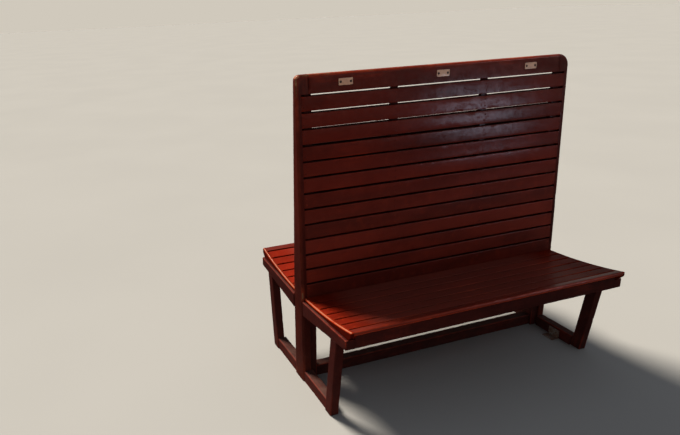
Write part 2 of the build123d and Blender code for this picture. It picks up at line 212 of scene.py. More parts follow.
# ------------------------------------------------------- one board, by a sweep
def sweep(t0, t1, section, place, radii, segs=3, subs=None, step=12.0,
          rims=(0.4, 0.4), rim_segs=2, open_corners=None, open_ends=(0, 0),
          rim_sides=None, slot_sides=None, joint=0.3):
    """Board along t.  section(t) gives the corners (u, v) there, place(t, u, v)
    the point in space.  Returns points, quads, end faces, the distance to the
    nearest exposed edge, the board's own (t, u, v), and how dark it is in its
    joints and, as painted shade, in the narrow gaps beside it.  rim_sides are the
    sides that round over at the ends, slot_sides the ones that face a narrow gap
    and are darkened deeper in as painted shade, and joint says how dark the
    line is where an end meets another board."""
    corners = np.asarray(section((t0 + t1) / 2), float)
    n = len(corners)
    subs = subs or [1] * n
    shown = [1] * n if open_corners is None else open_corners
    sign = 1 if t1 > t0 else -1
    rows = []                                   # (t, inset)
    for end, t, d in ((0, t0, sign), (1, t1, -sign)):
        e = rims[end]
        part = []
        if open_ends[end]:
            size = np.ptp(np.asarray(section(t), float), axis=0).min()
            more = max(0.5, min(7.0, (size - 2 * e) * 0.3))
            part.append((t, e + more))
        for k in range(rim_segs, -1, -1):
            phi = math.pi / 2 * k / rim_segs
            part.append((t + d * e * (1 - math.sin(phi)), e * (1 - math.cos(phi))))
        rows.append(part)
    inner = steps(t0 + sign * rims[0], t1 - sign * rims[1], step)[1:-1]
    if open_ends[0] and rims[0] + 8 < abs(t1 - t0) / 2:
        inner = [t0 + sign * (rims[0] + 4)] + [
            t for t in inner if abs(t - t0) > rims[0] + 8]
    if open_ends[1] and rims[1] + 8 < abs(t1 - t0) / 2:
        inner = [t for t in inner if abs(t - t1) > rims[1] + 8] + [
            t1 - sign * (rims[1] + 4)]
    rings = rows[0] + [(t, 0.0) for t in inner] + rows[1][::-1]
    points, edge, own, dirt_and_shade = [], [], [], []
    for t, inset in rings:
        base = np.asarray(section(t), float)
        pr = profile(base, radii, segs, subs, inset, rim_sides)
        d = np.full(len(pr), 60.0)
        dirt_and_shade_here = np.zeros(len(pr))
        # faces toward a narrow gap are darkened deeper into it: painted shade
        for i in range(n):
            if slot_sides and slot_sides[i]:
                a, b = base[i], base[(i + 1) % n]
                along = (b - a) / np.hypot(*(b - a))
                off = pr - a
                depth = off @ along if slot_sides[i] > 0 else np.hypot(*(b - a)) - off @ along
                away = np.abs(off[:, 0] * along[1] - off[:, 1] * along[0])
                dirt_and_shade_here = np.maximum(dirt_and_shade_here, (1 - smooth(away, 0.8, 3.0))
                                   * smooth(depth, 2.0, 6.5))
        for end, te in ((0, t0), (1, t1)):
            if not open_ends[end]:
                dirt_and_shade_here = np.maximum(dirt_and_shade_here, joint * (1 - smooth(abs(t - te), 0.2, 1.4)))
        for i in range(n):
            if shown[i]:
                d = np.minimum(d, np.maximum(
                    np.hypot(*(pr - base[i]).T) - 0.42 * radii[i], 0))
        for end, te in ((0, t0), (1, t1)):
            if open_ends[end]:
                d = np.minimum(d, max(math.hypot(t - te, inset * (abs(t - te) < 20))
                                      - 0.42 * rims[end], 0))
        tt = np.full(len(pr), t)
        points.append(place(tt, pr[:, 0], pr[:, 1]))
        own.append(np.stack([tt, pr[:, 0], pr[:, 1]], 1))
        edge.append(d)
        dirt_and_shade.append(dirt_and_shade_here)
    m = len(points[0])
    P, own, edge = np.concatenate(points), np.concatenate(own), np.concatenate(edge)
    dirt_and_shade = np.concatenate(dirt_and_shade)
    k = np.arange(m)
    quads = np.concatenate([np.stack([j * m + k, j * m + (k + 1) % m,
                                      (j + 1) * m + (k + 1) % m, (j + 1) * m + k], 1)
                            for j in range(len(rings) - 1)])
    ends = [list(k[::-1]), list((len(rings) - 1) * m + k)]
    return P, quads, ends, edge, own, dirt_and_shade


def volume_and_normals(P, quads, ends):
    tri = [quads[:, [0, 1, 2]], quads[:, [0, 2, 3]]]
    for e in ends:
        tri.append(np.array([[e[0], e[i], e[i + 1]] for i in range(1, len(e) - 1)]))
    tri = np.concatenate(tri)
    a, b, c = P[tri[:, 0]], P[tri[:, 1]], P[tri[:, 2]]
    cross = np.cross(b - a, c - a)
    volume = np.einsum("ij,ij->i", a, np.cross(b, c)).sum() / 6
    normal = np.zeros_like(P)
    for k in range(3):
        np.add.at(normal, tri[:, k], cross)
    normal /= np.maximum(np.linalg.norm(normal, axis=1, keepdims=True), 1e-12)
    return volume, normal


def wear_at(P):
    """How much hands, clothes and feet rub the paint here, 0 to 1."""
    x, y, z = P[:, 0], np.abs(P[:, 1]), P[:, 2]
    low = smooth(-z, -170, -15) * 0.75                       # shoes
    seat_front = smooth(y, 405, 446) * smooth(z, 385, 425) * 0.42
    seat_end = smooth(np.abs(x), 596, 626) * smooth(z, 360, 392) * (1 - smooth(z, 400, 470)) * (
        0.85 - 0.25 * (x > 0))
    top = smooth(z, 1225, 1275) * 0.70
    aisle_corner = smooth(-x, 585, 638) * smooth(z, 980, 1250) * 0.8
    aisle_tip = smooth(-x, 604, 634) * smooth(z, 1236, 1268) * 0.75
    aisle_edge = smooth(-x, 610, 638) * smooth(z, 420, 560) * 0.22
    sill = (z < 60) * 0.60
    place = np.sin(np.pi * ((x + LENGTH / 2) / PLACE_PITCH % 1.0)) ** 2
    sat = place * smooth(y, 90, 200) * (np.abs(z - 410) < 40) * 0.42
    leant = place * smooth(z, 520, 760) * smooth(-z, -1130, -960) * 0.30
    w = 0.16 + np.maximum.reduce([low, seat_front, seat_end, top, aisle_corner,
                                  aisle_tip, aisle_edge, sill, sat, leant])
    return np.clip(w * (0.85 + 0.35 * vnoise(P / 140.0, 7)), 0, 1)


def dust_at(P, N):
    """Grey floor dust, on low and upward faces."""
    x, y, z = P[:, 0], np.abs(P[:, 1]), P[:, 2]
    up = smooth(N[:, 2], 0.2, 0.85)
    low = smooth(-z, -330, -20)
    ledge = up * (z < 390) * (z > 300) * 0.35
    d = np.maximum(up * (z < 120) * 0.85, ledge)
    d = np.maximum(d, 0.20 * low * (1 - up))
    return np.clip(d, 0, 1)


class Piece:
    """Boards joined to one named mesh that stands for one construction node."""

    def __init__(self, name, node, slot):
        self.name, self.node, self.slot = name, node, slot
        self.P, self.faces, self.count = [], [], 0
        self.data = {k: [] for k in ("ed", "wear", "dust", "dark", "tone")}
        self.grain = []

    def add(self, made, seed, wobble=0.3, dent=0.7, mirror=(1, 1), shift=(0, 0, 0),
            tilt=0.0, tone=None, dark=0.0, wear=None, dust=1.0, dent_len=26.0):
        P, quads, ends, edge, own, dirt_and_shade = made
        P = P * (mirror[0], mirror[1], 1)
        volume, normal = volume_and_normals(P, quads, ends)
        if volume < 0:
            quads, ends, normal = quads[:, ::-1], [e[::-1] for e in ends], -normal
        # uneven planing, always inward, and knocks along the edges
        move = -wobble * (0.5 + 0.5 * vnoise(P / (170.0, 60.0, 60.0)
                                             + (seed * 3.7, 0, 0), seed))
        near = 1 - smooth(edge, 1.0, 6.5)
        knock = vnoise(P / dent_len + (0, seed * 1.3, 0), seed + 40)
        fine = vnoise(P / 9.0 + (seed * 0.7, 0, 0), seed + 80)
        move -= dent * near * (smooth(knock, 0.35, 0.9) + 0.18 * (0.5 + 0.5 * fine))
        P = P + normal * move[:, None]
        if tilt:
            mid = (P.min(0) + P.max(0)) / 2
            c, s = math.cos(tilt), math.sin(tilt)
            y, z = P[:, 1] - mid[1], P[:, 2] - mid[2]
            P = np.stack([P[:, 0], mid[1] + y * c - z * s, mid[2] + y * s + z * c], 1)
        P = P + np.asarray(shift, float)
        tone = rand(seed * 13 + 5) if tone is None else tone
        self.faces += [[int(i) + self.count for i in q] for q in quads]
        self.faces += [[int(i) + self.count for i in e] for e in ends]
        self.count += len(P)
        self.P.append(P / 1000)
        self.grain.append(own / 1000 + np.array([rand(seed + 301, 0, 40),
                                                 rand(seed + 302, 0, 40),
                                                 rand(seed + 303, 0, 40)]))
        # dark holds dark joint lines and stains, and painted shade in gaps and recesses
        for key, value in (("ed", edge), ("wear", wear_at(P) if wear is None else wear),
                           ("dust", dust_at(P, normal) * dust),
                           ("dark", np.maximum(dirt_and_shade, dark)), ("tone", tone)):
            self.data[key].append(np.broadcast_to(np.asarray(value, float),
                                                  (len(P),)).astype(np.float32))

    def build(self, material, weighted=True):
        mesh = bpy.data.meshes.new(self.name)
        mesh.from_pydata(np.concatenate(self.P).tolist(), [], self.faces)
        for key, rows in self.data.items():
            layer = mesh.attributes.new(key, "FLOAT", "POINT")
            layer.data.foreach_set("value", np.concatenate(rows))
        layer = mesh.attributes.new("gco", "FLOAT_VECTOR", "POINT")
        layer.data.foreach_set("vector",
                               np.concatenate(self.grain).astype(np.float32).ravel())
        mesh.polygons.foreach_set("use_smooth", np.ones(len(mesh.polygons), bool))
        mesh.set_sharp_from_angle(angle=math.radians(58))
        mesh.materials.append(material)
        obj = bpy.data.objects.new(self.name, mesh)
        bpy.context.scene.collection.objects.link(obj)
        if weighted:
            mod = obj.modifiers.new("normals", "WEIGHTED_NORMAL")
            mod.mode, mod.weight, mod.keep_sharp = "FACE_AREA", 50, True
        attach(obj, "root")
        if self.node:
            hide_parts(self.node)
        return obj


def pale_rubs_and_highlight(obj, where):
    """Marks where the paint is rubbed through, 0 to 1, on the seat caps partly a painted
    highlight; where(P) takes mm.
    """
    co = np.empty(len(obj.data.vertices) * 3, np.float32)
    obj.data.vertices.foreach_get("co", co)
    value = np.clip(where(co.reshape(-1, 3) * 1000.0), 0, 1).astype(np.float32)
    obj.data.attributes.new("pale", "FLOAT", "POINT").data.foreach_set("value", value)


# ------------------------------------------------------------------ materials
class Tree:
    """A material's node tree, with short names for the nodes used here."""

    def __init__(self, name):
        self.mat = bpy.data.materials.new(name)
        self.mat.use_nodes = True
        self.tree = self.mat.node_tree
        self.tree.nodes.clear()
        self.bsdf = self.make("ShaderNodeBsdfPrincipled")
        out = self.make("ShaderNodeOutputMaterial")
        self.tree.links.new(self.bsdf.outputs[0], out.inputs[0])

    def make(self, kind, **settings):
        node = self.tree.nodes.new(kind)
        for key, value in settings.items():
            setattr(node, key, value)
        return node

    def put(self, socket, value):
        if isinstance(value, bpy.types.NodeSocket):
            self.tree.links.new(value, socket)
        elif isinstance(value, (tuple, list)) and len(value) == 3 and socket.type == "RGBA":
            socket.default_value = (*value, 1)
        else:
            socket.default_value = value

    def attr(self, name, vector=False):
        node = self.make("ShaderNodeAttribute", attribute_type="GEOMETRY",
                         attribute_name=name)
        return node.outputs["Vector" if vector else "Fac"]

    def coords(self):
        return self.make("ShaderNodeTexCoord").outputs["Object"]

    def math(self, op, a, b=0.0, c=0.0, clamp=False):
        node = self.make("ShaderNodeMath", operation=op, use_clamp=clamp)
        for socket, value in zip(node.inputs, (a, b, c)):
            self.put(socket, value)
        return node.outputs[0]

    def times(self, *values):
        out = values[0]
        for v in values[1:]:
            out = self.math("MULTIPLY", out, v)
        return out

    def add(self, *values):
        out = values[0]
        for v in values[1:]:
            out = self.math("ADD", out, v)
        return out

    def scaled(self, vector, xyz):
        node = self.make("ShaderNodeVectorMath", operation="MULTIPLY")
        self.put(node.inputs[0], vector)
        node.inputs[1].default_value = xyz
        return node.outputs[0]

    def noise(self, vector, scale=1.0, detail=3.0, rough=0.5, distort=0.0):
        node = self.make("ShaderNodeTexNoise")
        self.put(node.inputs["Vector"], vector)
        for key, value in (("Scale", scale), ("Detail", detail), ("Roughness", rough),
                           ("Distortion", distort)):
            node.inputs[key].default_value = value
        return node.outputs["Fac"]

    def cells(self, vector, scale, out="Distance", feature="F1"):
        node = self.make("ShaderNodeTexVoronoi", feature=feature)
        self.put(node.inputs["Vector"], vector)
        node.inputs["Scale"].default_value = scale
        return node.outputs[out]

    def span(self, value, a, b, low=0.0, high=1.0, shape="SMOOTHSTEP"):
        node = self.make("ShaderNodeMapRange", interpolation_type=shape, clamp=True)
        for socket, v in zip(node.inputs, (value, a, b, low, high)):
            self.put(socket, v)
        return node.outputs[0]

    def mix(self, factor, a, b, blend="MIX"):
        node = self.make("ShaderNodeMix", data_type="RGBA", blend_type=blend)
        sockets = [s for s in node.inputs if s.enabled]
        self.put(sockets[0], factor)
        self.put(sockets[1], a)
        self.put(sockets[2], b)
        return [s for s in node.outputs if s.enabled][0]

    def bump(self, height, strength=1.0):
        node = self.make("ShaderNodeBump")
        node.inputs["Strength"].default_value = strength
        node.inputs["Distance"].default_value = 1.0
        self.put(node.inputs["Height"], height)
        return node.outputs[0]


def paint(name, deep, mid, thin, rough, gloss, shine, chip=1.0, dusty=1.0, low_darkening=0.0,
          upper_back_shade=0.0, seat_middle_shade=0.0):
    """Old gloss paint over planed wood: brush marks and grain under the coat,
    thin bright edges, a few chips to the wood, grime and dust, painted shade
    in gaps and recesses, and where asked for, painted shade up the back and
    in the middle of the seat."""
    t = Tree(name)
    g, o = t.attr("gco", True), t.coords()
    ed, wear, tone = t.attr("ed"), t.attr("wear"), t.attr("tone")
    dust, dark = t.attr("dust"), t.attr("dark")

    broad = t.noise(t.scaled(g, (2.4, 9, 9)), 1, 3, 0.55)
    clouds = t.noise(o, 6.0, 4, 0.6)
    mottle = t.noise(o, 34.0, 5, 0.62)
    streak = t.noise(t.scaled(g, (6, 300, 300)), 1, 4, 0.6)
    grain = t.noise(t.scaled(g, (26, 950, 950)), 1, 3, 0.55, 0.3)
    speck = t.noise(o, 420.0, 3, 0.6)

    colour = t.mix(t.span(t.add(t.times(broad, 0.7), t.times(tone, 0.28)), 0.26, 0.76),
                   deep, mid)
    colour = t.mix(t.span(streak, 0.45, 0.72, 0, 0.12), colour, (0.32, 0.26, 0.26),
                   "MULTIPLY")
    colour = t.mix(t.span(mottle, 0.48, 0.78, 0, 0.16), colour, thin)
    scuff = t.noise(t.scaled(g, (9, 40, 40)), 1.0, 5, 0.66)
    rubbed = t.times(t.span(wear, 0.24, 0.75), t.span(scuff, 0.46, 0.68))
    colour = t.mix(t.times(rubbed, 0.34), colour, thin)

    # thin paint where the edge is rounded over, bare wood where it is rubbed
    edge = t.span(ed, 0.5, 5.0, 1.0, 0.0)
    rub = t.times(edge, t.span(wear, 0.12, 0.85, 0.05, 0.95))
    thinned = t.times(rub, t.span(mottle, 0.34, 0.60, 0.45, 1.0))
    colour = t.mix(thinned, colour, thin)
    worn = t.math("POWER", wear, 4.0)
    bare_at = t.add(t.times(edge, t.add(t.times(wear, 0.45), t.times(worn, 0.25))),
                    t.times(speck, 0.40), t.times(mottle, 0.50))
    bare = t.times(t.span(bare_at, 1.05, 1.12), chip)

    # separate chips, most of them near the edges
    flake = t.cells(t.scaled(o, (1, 1, 1.5)), 46.0)
    flake_size = t.span(t.add(t.times(wear, 0.10), t.times(t.span(ed, 2, 22, 1, 0), 0.05),
                              t.times(clouds, 0.12)), 0.115, 0.27, -0.03, 0.15, "LINEAR")
    flakes = t.times(t.math("LESS_THAN", t.add(flake, t.times(speck, 0.10)),
                            t.add(flake_size, 0.05)), chip)
    bare = t.math("MAXIMUM", bare, t.times(flakes, 0.85))
    pale = t.attr("pale")   # 1 is rubbed right through, 0.5 in patches; on the seat caps partly a painted highlight
    pale = t.times(t.span(pale, 0.02, 0.25),
                   t.span(t.add(t.times(pale, 0.55), t.times(mottle, 0.5),
                                t.times(scuff, 0.5)), 0.74, 0.90))
    wood = t.mix(t.span(grain, 0.35, 0.65), (0.130, 0.054, 0.028), (0.280, 0.130, 0.068))
    wood = t.mix(t.span(mottle, 0.35, 0.6, 0.8, 0.2), wood, (0.040, 0.014, 0.009))
    colour = t.mix(bare, colour, wood)
    colour = t.mix(pale, colour, (0.300, 0.108, 0.062))

    # grime in clouds, plus the dark attribute: dark joint lines and stains, and painted shade
    # in the gaps between boards and in recesses
    grime_and_shade = t.span(t.add(clouds, t.times(mottle, 0.25)), 0.64, 0.90, 0, 0.30)
    grime_and_shade = t.math("MAXIMUM", grime_and_shade, t.times(dark, 0.95))
    colour = t.mix(grime_and_shade, colour, (0.16, 0.14, 0.14), "MULTIPLY")
    split = t.make("ShaderNodeSeparateXYZ")
    t.put(split.inputs[0], o)
    if low_darkening:              # darker towards the floor
        # a darkening by height alone, a little less red near the floor
        low_darkening_mask = t.span(t.add(split.outputs["Z"], t.times(clouds, 0.25)), 0.35, 1.15,
                      low_darkening, 0.0)
        colour = t.mix(low_darkening_mask, colour, (0.84, 0.98, 1.0), "MULTIPLY")
    if upper_back_shade:               # painted shade: darker up the back from 0.6 m, but not on the top face
        upper_back_shade_mask = t.times(t.span(t.add(split.outputs["Z"], t.times(clouds, 0.2)),
                              0.60, 1.15, 0.0, upper_back_shade),
                       t.span(split.outputs["Z"], 1.266, 1.280, 1.0, 0.0))
        colour = t.mix(upper_back_shade_mask, colour, (0.64, 0.46, 0.38), "MULTIPLY")
    if seat_middle_shade:              # painted shade: browner and greyer in the middle of the seat than at its ends
        place = t.span(t.add(t.math("ABSOLUTE", split.outputs["X"]),
                             t.times(clouds, 0.10)), 0.46, 0.62, seat_middle_shade, 0.0)
        colour = t.mix(place, colour, (0.170, 0.052, 0.040))
    dusting = t.times(dust, t.span(t.add(t.times(mottle, 0.6), t.times(clouds, 0.6)),
                                   0.42, 0.78, 0.22, 1.0), dusty)
    colour = t.mix(t.times(dusting, 0.55), colour, (0.098, 0.070, 0.060))
    t.put(t.bsdf.inputs["Base Color"], colour)

    pebble = t.noise(o, 120.0, 3, 0.6)
    matt = t.add(rough, t.times(t.span(mottle, 0.3, 0.75), 0.08),
                 t.times(t.span(pebble, 0.35, 0.7), 0.09), t.times(rubbed, 0.12),
                 t.times(grime_and_shade, 0.16), t.times(bare, 0.28), t.times(dusting, 0.36),
                 t.times(t.span(streak, 0.3, 0.7), 0.05))
    t.put(t.bsdf.inputs["Roughness"], t.math("MINIMUM", matt, 0.95))
    sheen = t.span(t.add(t.times(pebble, 0.40), t.times(mottle, 0.35),
                         t.times(streak, 0.25)), 0.37, 0.61, 0.20 * gloss, 1.85 * gloss)
    t.put(t.bsdf.inputs["Coat Weight"],
          t.math("MAXIMUM", t.math("SUBTRACT", sheen, t.add(t.times(dusting, 0.5),
                                                            t.times(bare, 0.5),
                                                            t.times(dark, 0.3))), 0.0))
    t.bsdf.inputs["Coat Roughness"].default_value = 0.16
    t.bsdf.inputs["Specular IOR Level"].default_value = shine

    peel = t.noise(o, 460.0, 2, 0.5)
    lumps = t.noise(t.scaled(g, (14, 60, 60)), 1.0, 2, 0.5)
    height = t.add(t.times(peel, 0.000026), t.times(lumps, 0.00005),
                   t.times(pebble, 0.00010), t.times(streak, 0.00011),
                   t.times(grain, 0.00004),
                   t.times(bare, -0.00020), t.times(dusting, speck, 0.00012))
    t.put(t.bsdf.inputs["Normal"], t.bump(height))
    return t.mat


def enamel(name):
    """Cream vitreous enamel on small steel plates, chipped at the rim."""
    t = Tree(name)
    o, ed, dark = t.coords(), t.attr("ed"), t.attr("dark")
    cloud, mottle, fine = (t.noise(o, 30, 4, 0.6), t.noise(o, 140, 4, 0.65),
                           t.noise(o, 900, 3, 0.6))
    colour = t.mix(t.span(cloud, 0.35, 0.7), (0.480, 0.262, 0.168), (0.400, 0.200, 0.120))
    colour = t.mix(t.span(mottle, 0.50, 0.75, 0, 0.50), colour, (0.24, 0.115, 0.070))
    chip = t.span(t.add(t.times(t.span(ed, 0.2, 2.6, 1, 0), 0.55), t.times(mottle, 0.6)),
                  0.80, 0.88)
    colour = t.mix(chip, colour, (0.045, 0.022, 0.016))
    colour = t.mix(dark, colour, (0.06, 0.028, 0.018))
    t.put(t.bsdf.inputs["Base Color"], colour)
    t.put(t.bsdf.inputs["Roughness"], t.add(0.30, t.times(chip, 0.4), t.times(mottle, 0.15),
                                            t.times(dark, 0.2)))
    t.bsdf.inputs["Coat Weight"].default_value = 0.3
    t.bsdf.inputs["Coat Roughness"].default_value = 0.12
    t.put(t.bsdf.inputs["Normal"], t.bump(t.add(t.times(cloud, 0.0002),
                                                t.times(chip, -0.00025),
                                                t.times(fine, 0.00002))))
    return t.mat


def steel(name, clean, rust, worn):
    """Old steel fittings, part rusted."""
    t = Tree(name)
    o, dark = t.coords(), t.attr("dark")
    cloud, mottle, fine = (t.noise(o, 25, 4, 0.6), t.noise(o, 160, 5, 0.65),
                           t.noise(o, 1200, 3, 0.6))
    patch = t.span(t.add(t.times(cloud, 0.7), t.times(mottle, 0.5)), 0.48, 0.68)
    colour = t.mix(t.times(patch, worn), clean, rust)
    colour = t.mix(t.span(fine, 0.4, 0.7, 0, 0.35), colour, (0.2, 0.2, 0.2), "MULTIPLY")
    # darker where the dark attribute is set: painted shade in the screw slots, and dark lines
    # at the ends of the brackets
    colour = t.mix(dark, colour, (0.015, 0.010, 0.008))
    t.put(t.bsdf.inputs["Base Color"], colour)
    t.put(t.bsdf.inputs["Metallic"], t.math("SUBTRACT", 0.85, t.times(patch, 0.75)))
    t.put(t.bsdf.inputs["Roughness"], t.add(0.38, t.times(patch, 0.38),
                                            t.times(fine, 0.12)))
    t.put(t.bsdf.inputs["Normal"], t.bump(t.add(t.times(mottle, 0.0002),
                                                t.times(fine, 0.00005))))
    return t.mat


SEAT_PAINT = paint("seat_paint", (0.070, 0.0098, 0.0064), (0.152, 0.0180, 0.0104),
                   (0.340, 0.032, 0.008), 0.34, 0.14, 0.03, upper_back_shade=1.0)
# lighter, redder copy of the paint for the seat tops and caps: partly rubbed paint, partly
# painted light
SEAT_TOP_PAINT_WORN_AND_LIT = paint("seat_top_worn_and_lit_paint", (0.092, 0.0066, 0.0026), (0.204, 0.0120, 0.0036),
                     (0.400, 0.034, 0.005), 0.37, 0.028, 0.010, dusty=0.4, seat_middle_shade=0.45)
# darker copy of the red paint for the posts: painted shade
POST_PAINT_SHADED = paint("post_paint", (0.033, 0.0041, 0.0030), (0.072, 0.0076, 0.0045),
                   (0.175, 0.020, 0.008), 0.36, 0.13, 0.03, low_darkening=1.0)
# darker copy of the red paint for the frame under the seat and the studs: painted shade
FRAME_PAINT_SHADED = paint("frame_paint", (0.026, 0.0050, 0.0044), (0.048, 0.0078, 0.0064),
                    (0.145, 0.017, 0.009), 0.50, 0.06, 0.03)
ENAMEL = enamel("plate_enamel")
SCREW_STEEL = steel("screw_steel", (0.055, 0.042, 0.036), (0.045, 0.018, 0.011), 1.0)
BRACKET_STEEL = steel("bracket_steel", (0.26, 0.25, 0.24), (0.13, 0.050, 0.022), 0.9)

# ---------------------------------------------------------------------- back
slat_rows = []
for i in range(GAP_COUNT - 1):
    top = FIRST_GAP - i * GAP_PITCH - GAP / 2
    slat_rows.append((top - (GAP_PITCH - GAP), top))
slat_rows.append((SLAT_FOOT, FIRST_GAP - (GAP_COUNT - 1) * GAP_PITCH - GAP / 2))


def along_x(t, u, v):
    return np.stack([t, u, v], 1)


seed = 100
for side, s in SIDES:
    piece = Piece("back_slats_painted_" + side, "back_slats_" + side, "seat_paint")
    for row, (z0, z1) in enumerate(slat_rows):
        seed += 1
        o0, o1 = float(half_at(z0)), float(half_at(z1))
        if z0 < TAPER_Z < z1:
            corners = [(o0 - SLAT_T, z0), (o0, z0), (o0, TAPER_Z), (o1, z1),
                       (o1 - SLAT_T, z1)]
            radii, subs, shown = [0.8, 0.8, 0.1, 2.5, 0.8], [1, 2, 3, 1, 3], [0, 0, 0, 1, 0]
        else:
            corners = [(o0 - SLAT_T, z0), (o0, z0), (o1, z1), (o1 - SLAT_T, z1)]
            radii, subs, shown = [0.8, 2.5, 2.5, 0.8], [1, 5, 1, 2], [0, 1, 1, 0]
        n = len(corners)
        slots = [-1] + [0] * (n - 3) + [1, 0]
        made = sweep(-SLAT_X, SLAT_X, lambda t: corners, along_x, radii, 4, subs,
                     10.0, (0.3, 0.3), 1, shown, slot_sides=slots, joint=0.12)
        # a slightly hollow or round face on each slat
        P, quads, ends, edge, own, dirt_and_shade = made
        across = np.clip((P[:, 2] - z0) / (z1 - z0), 0, 1) * 2 - 1
        cup = rand(seed + 700, 0.05, 0.45)
        outer = P[:, 1] > np.where(P[:, 2] > TAPER_Z, half_at(P[:, 2]), POST_HALF) - 4
        cup = cup * smooth(SLAT_X - np.abs(P[:, 0]), 2, 70)
        P[:, 1] -= np.where(outer, cup * (across ** 2 if rand(seed + 710) < 0.5
                                          else 1 - across ** 2), 0)
        last = row == len(slat_rows) - 1
        piece.add(made, seed, 0.35, 0.8, (1, s),
                  (0, -s * rand(seed + 720, 0.0, 0.15),
                   0 if last else rand(seed + 730, -0.6, 0.6)),
                  s * rand(seed + 740, -0.0045, 0.0045))
    piece.build(SEAT_PAINT)

piece = Piece("back_top_rail_painted", "back_top_rail", "seat_paint")
h0 = float(half_at(RAIL_Z0))
rail_corners = [(-h0, RAIL_Z0), (h0, RAIL_Z0), (TOP_HALF, HEIGHT), (-TOP_HALF, HEIGHT)]
made = sweep(-(HALF - HEAD_W), HALF - HEAD_W, lambda t: rail_corners, along_x,
             [2, 2, EDGE_R, EDGE_R], 7, [3, 7, 2, 7], 7.0, (0.8, 0.8), 2,
             [1, 1, 1, 1], rim_sides=[3.2, 0.5, 0.5, 0.5], joint=0.8)
x, z = made[0][:, 0], made[0][:, 2]
# old stain in the upper half of the joint with the post
stain = (smooth(np.abs(x), HALF - HEAD_W - 12, HALF - HEAD_W - 3) * (0.85 - 0.4 * (x > 0))
         * smooth(z, 1220, 1236) * (1 - smooth(z, 1268, 1279)))
piece.add(made, 151, 0.3, 0.7, tone=0.5, dark=stain)
pale_rubs_and_highlight(piece.build(SEAT_PAINT),
         lambda P: smooth(P[:, 2], HEIGHT - 3.0, HEIGHT - 1.0)
         * (0.48 - 0.10 * P[:, 0] / HALF))


# --------------------------------------------------------------- end posts
def post(corner):
    """Post for the +X end: rounded up its outer edges and over its top."""
    J = 7
    path = [(HALF, z, -1.0, 0.0) for z in sorted(
        set(steps(0, SLAT_FOOT - 0.4, 7.5)) | set(steps(SLAT_FOOT, RAIL_Z0, 7.5, (TAPER_Z,)))
        | set(steps(RAIL_Z0, HEIGHT - corner, 7.0)))]
    count = max(8, int(corner / 3))
    for k in range(1, count + 1):
        a = math.pi / 2 * k / count
        path.append((HALF - corner + corner * math.cos(a),
                     HEIGHT - corner + corner * math.sin(a), -math.cos(a), -math.sin(a)))
    path += [(x, HEIGHT, 0.0, -1.0)
             for x in steps(HALF - corner, HALF - HEAD_W, 6.0)[1:]]
    P, edge, own, dirt_and_shade = [], [], [], []

    def point(x, y, z, e, dirt_and_shade_here=0.0):
        P.append((x, y, z))
        edge.append(e)
        dirt_and_shade.append(dirt_and_shade_here)
        own.append((z, x, y))
        return len(P) - 1

    hoops, inners = [], []
    for x, z, nx, nz in path:
        hoop = []
        for s in (-1, 1):
            rows = []
            for k in range(J + 1):
                a = math.pi / 2 * k / J
                d = EDGE_R * (1 - math.cos(a))
                pz = z + nz * d
                y = float(half_at(pz)) - EDGE_R + EDGE_R * math.sin(a)
                rows.append((x + nx * d, s * y, pz, abs(a - math.pi / 4) * 4.5))
            rows = rows[::-1] if s < 0 else rows
            if s > 0:           # the flat band between the two roundings
                y0 = float(half_at(z)) - EDGE_R
                for f in (-0.5, 0.0, 0.5):
                    if y0 > 4:
                        hoop.append(point(x, y0 * f, z, 4 + y0 * (1 - abs(f))))
                    else:
                        hoop.append(point(x, y0 * f, z, 3.6))
            hoop += [point(*r) for r in rows]
        hoops.append(hoop)
        if nz == 0 and z <= RAIL_Z0 + 0.01:
            h = float(half_at(z))
            inner = []
            for s in (1, -1):
                if z < SLAT_FOOT - 0.2:
                    part = [point(SLAT_X + 0.5, s * h, z, 13),
                            point(INNER_X + 2.2, s * h, z, 2),
                            point(INNER_X + 0.66, s * (h - 0.66), z, 0),
                            point(INNER_X, s * (h - 2.2), z, 2),
                            point(INNER_X, s * (h - 8), z, 8)]
                else:           # rebated for the ends of the slats
                    b = h - SLAT_T
                    # the rebate is darkened: dark joint lines at the slat ends, and painted
                    # shade in the rebate
                    part = [point(SLAT_X + 0.5, s * h, z, 10),
                            point(SLAT_X, s * (h - 0.5), z, 10, 0.5),
                            point(SLAT_X, s * (b + 0.3), z, 20, 0.9),
                            point(INNER_X + 0.3, s * b, z, 20, 0.9),
                            point(INNER_X, s * (b - 0.3), z, 20, 0.9)]
                inner += part if s > 0 else part[::-1]
                if s > 0:
                    inner.append(point(INNER_X, 0, z, 20))
            inners.append(inner)
    quads, ends = [], []
    m = len(hoops[0])
    for i in range(len(path) - 1):
        a, b = hoops[i], hoops[i + 1]
        quads += [(a[k], a[k + 1], b[k + 1], b[k]) for k in range(m - 1)]
    for i in range(len(inners) - 1):
        a = [hoops[i][-1]] + inners[i] + [hoops[i][0]]
        b = [hoops[i + 1][-1]] + inners[i + 1] + [hoops[i + 1][0]]
        quads += [(a[k], a[k + 1], b[k + 1], b[k]) for k in range(len(a) - 1)]
    last = len(inners) - 1
    near_corner = point(HALF - HEAD_W, float(half_at(RAIL_Z0)), RAIL_Z0, 30)
    far_corner = point(HALF - HEAD_W, -float(half_at(RAIL_Z0)), RAIL_Z0, 30)
    inner = inners[last]
    ends.append(hoops[0] + inners[0])
    # head: the two faces, the end that meets the rail, and the underside
    ends.append([hoops[i][-1] for i in range(last, len(hoops))][::-1]
                + inner[:1] + [near_corner])
    ends.append([hoops[i][0] for i in range(last, len(hoops))]
                + [far_corner] + inner[-1:])
    ends.append(hoops[-1][::-1] + [far_corner, near_corner])
    ends.append([near_corner, far_corner] + inner[::-1])
    return (np.array(P, float), np.array(quads), ends, np.array(edge, float),
            np.array(own, float), np.array(dirt_and_shade, float))


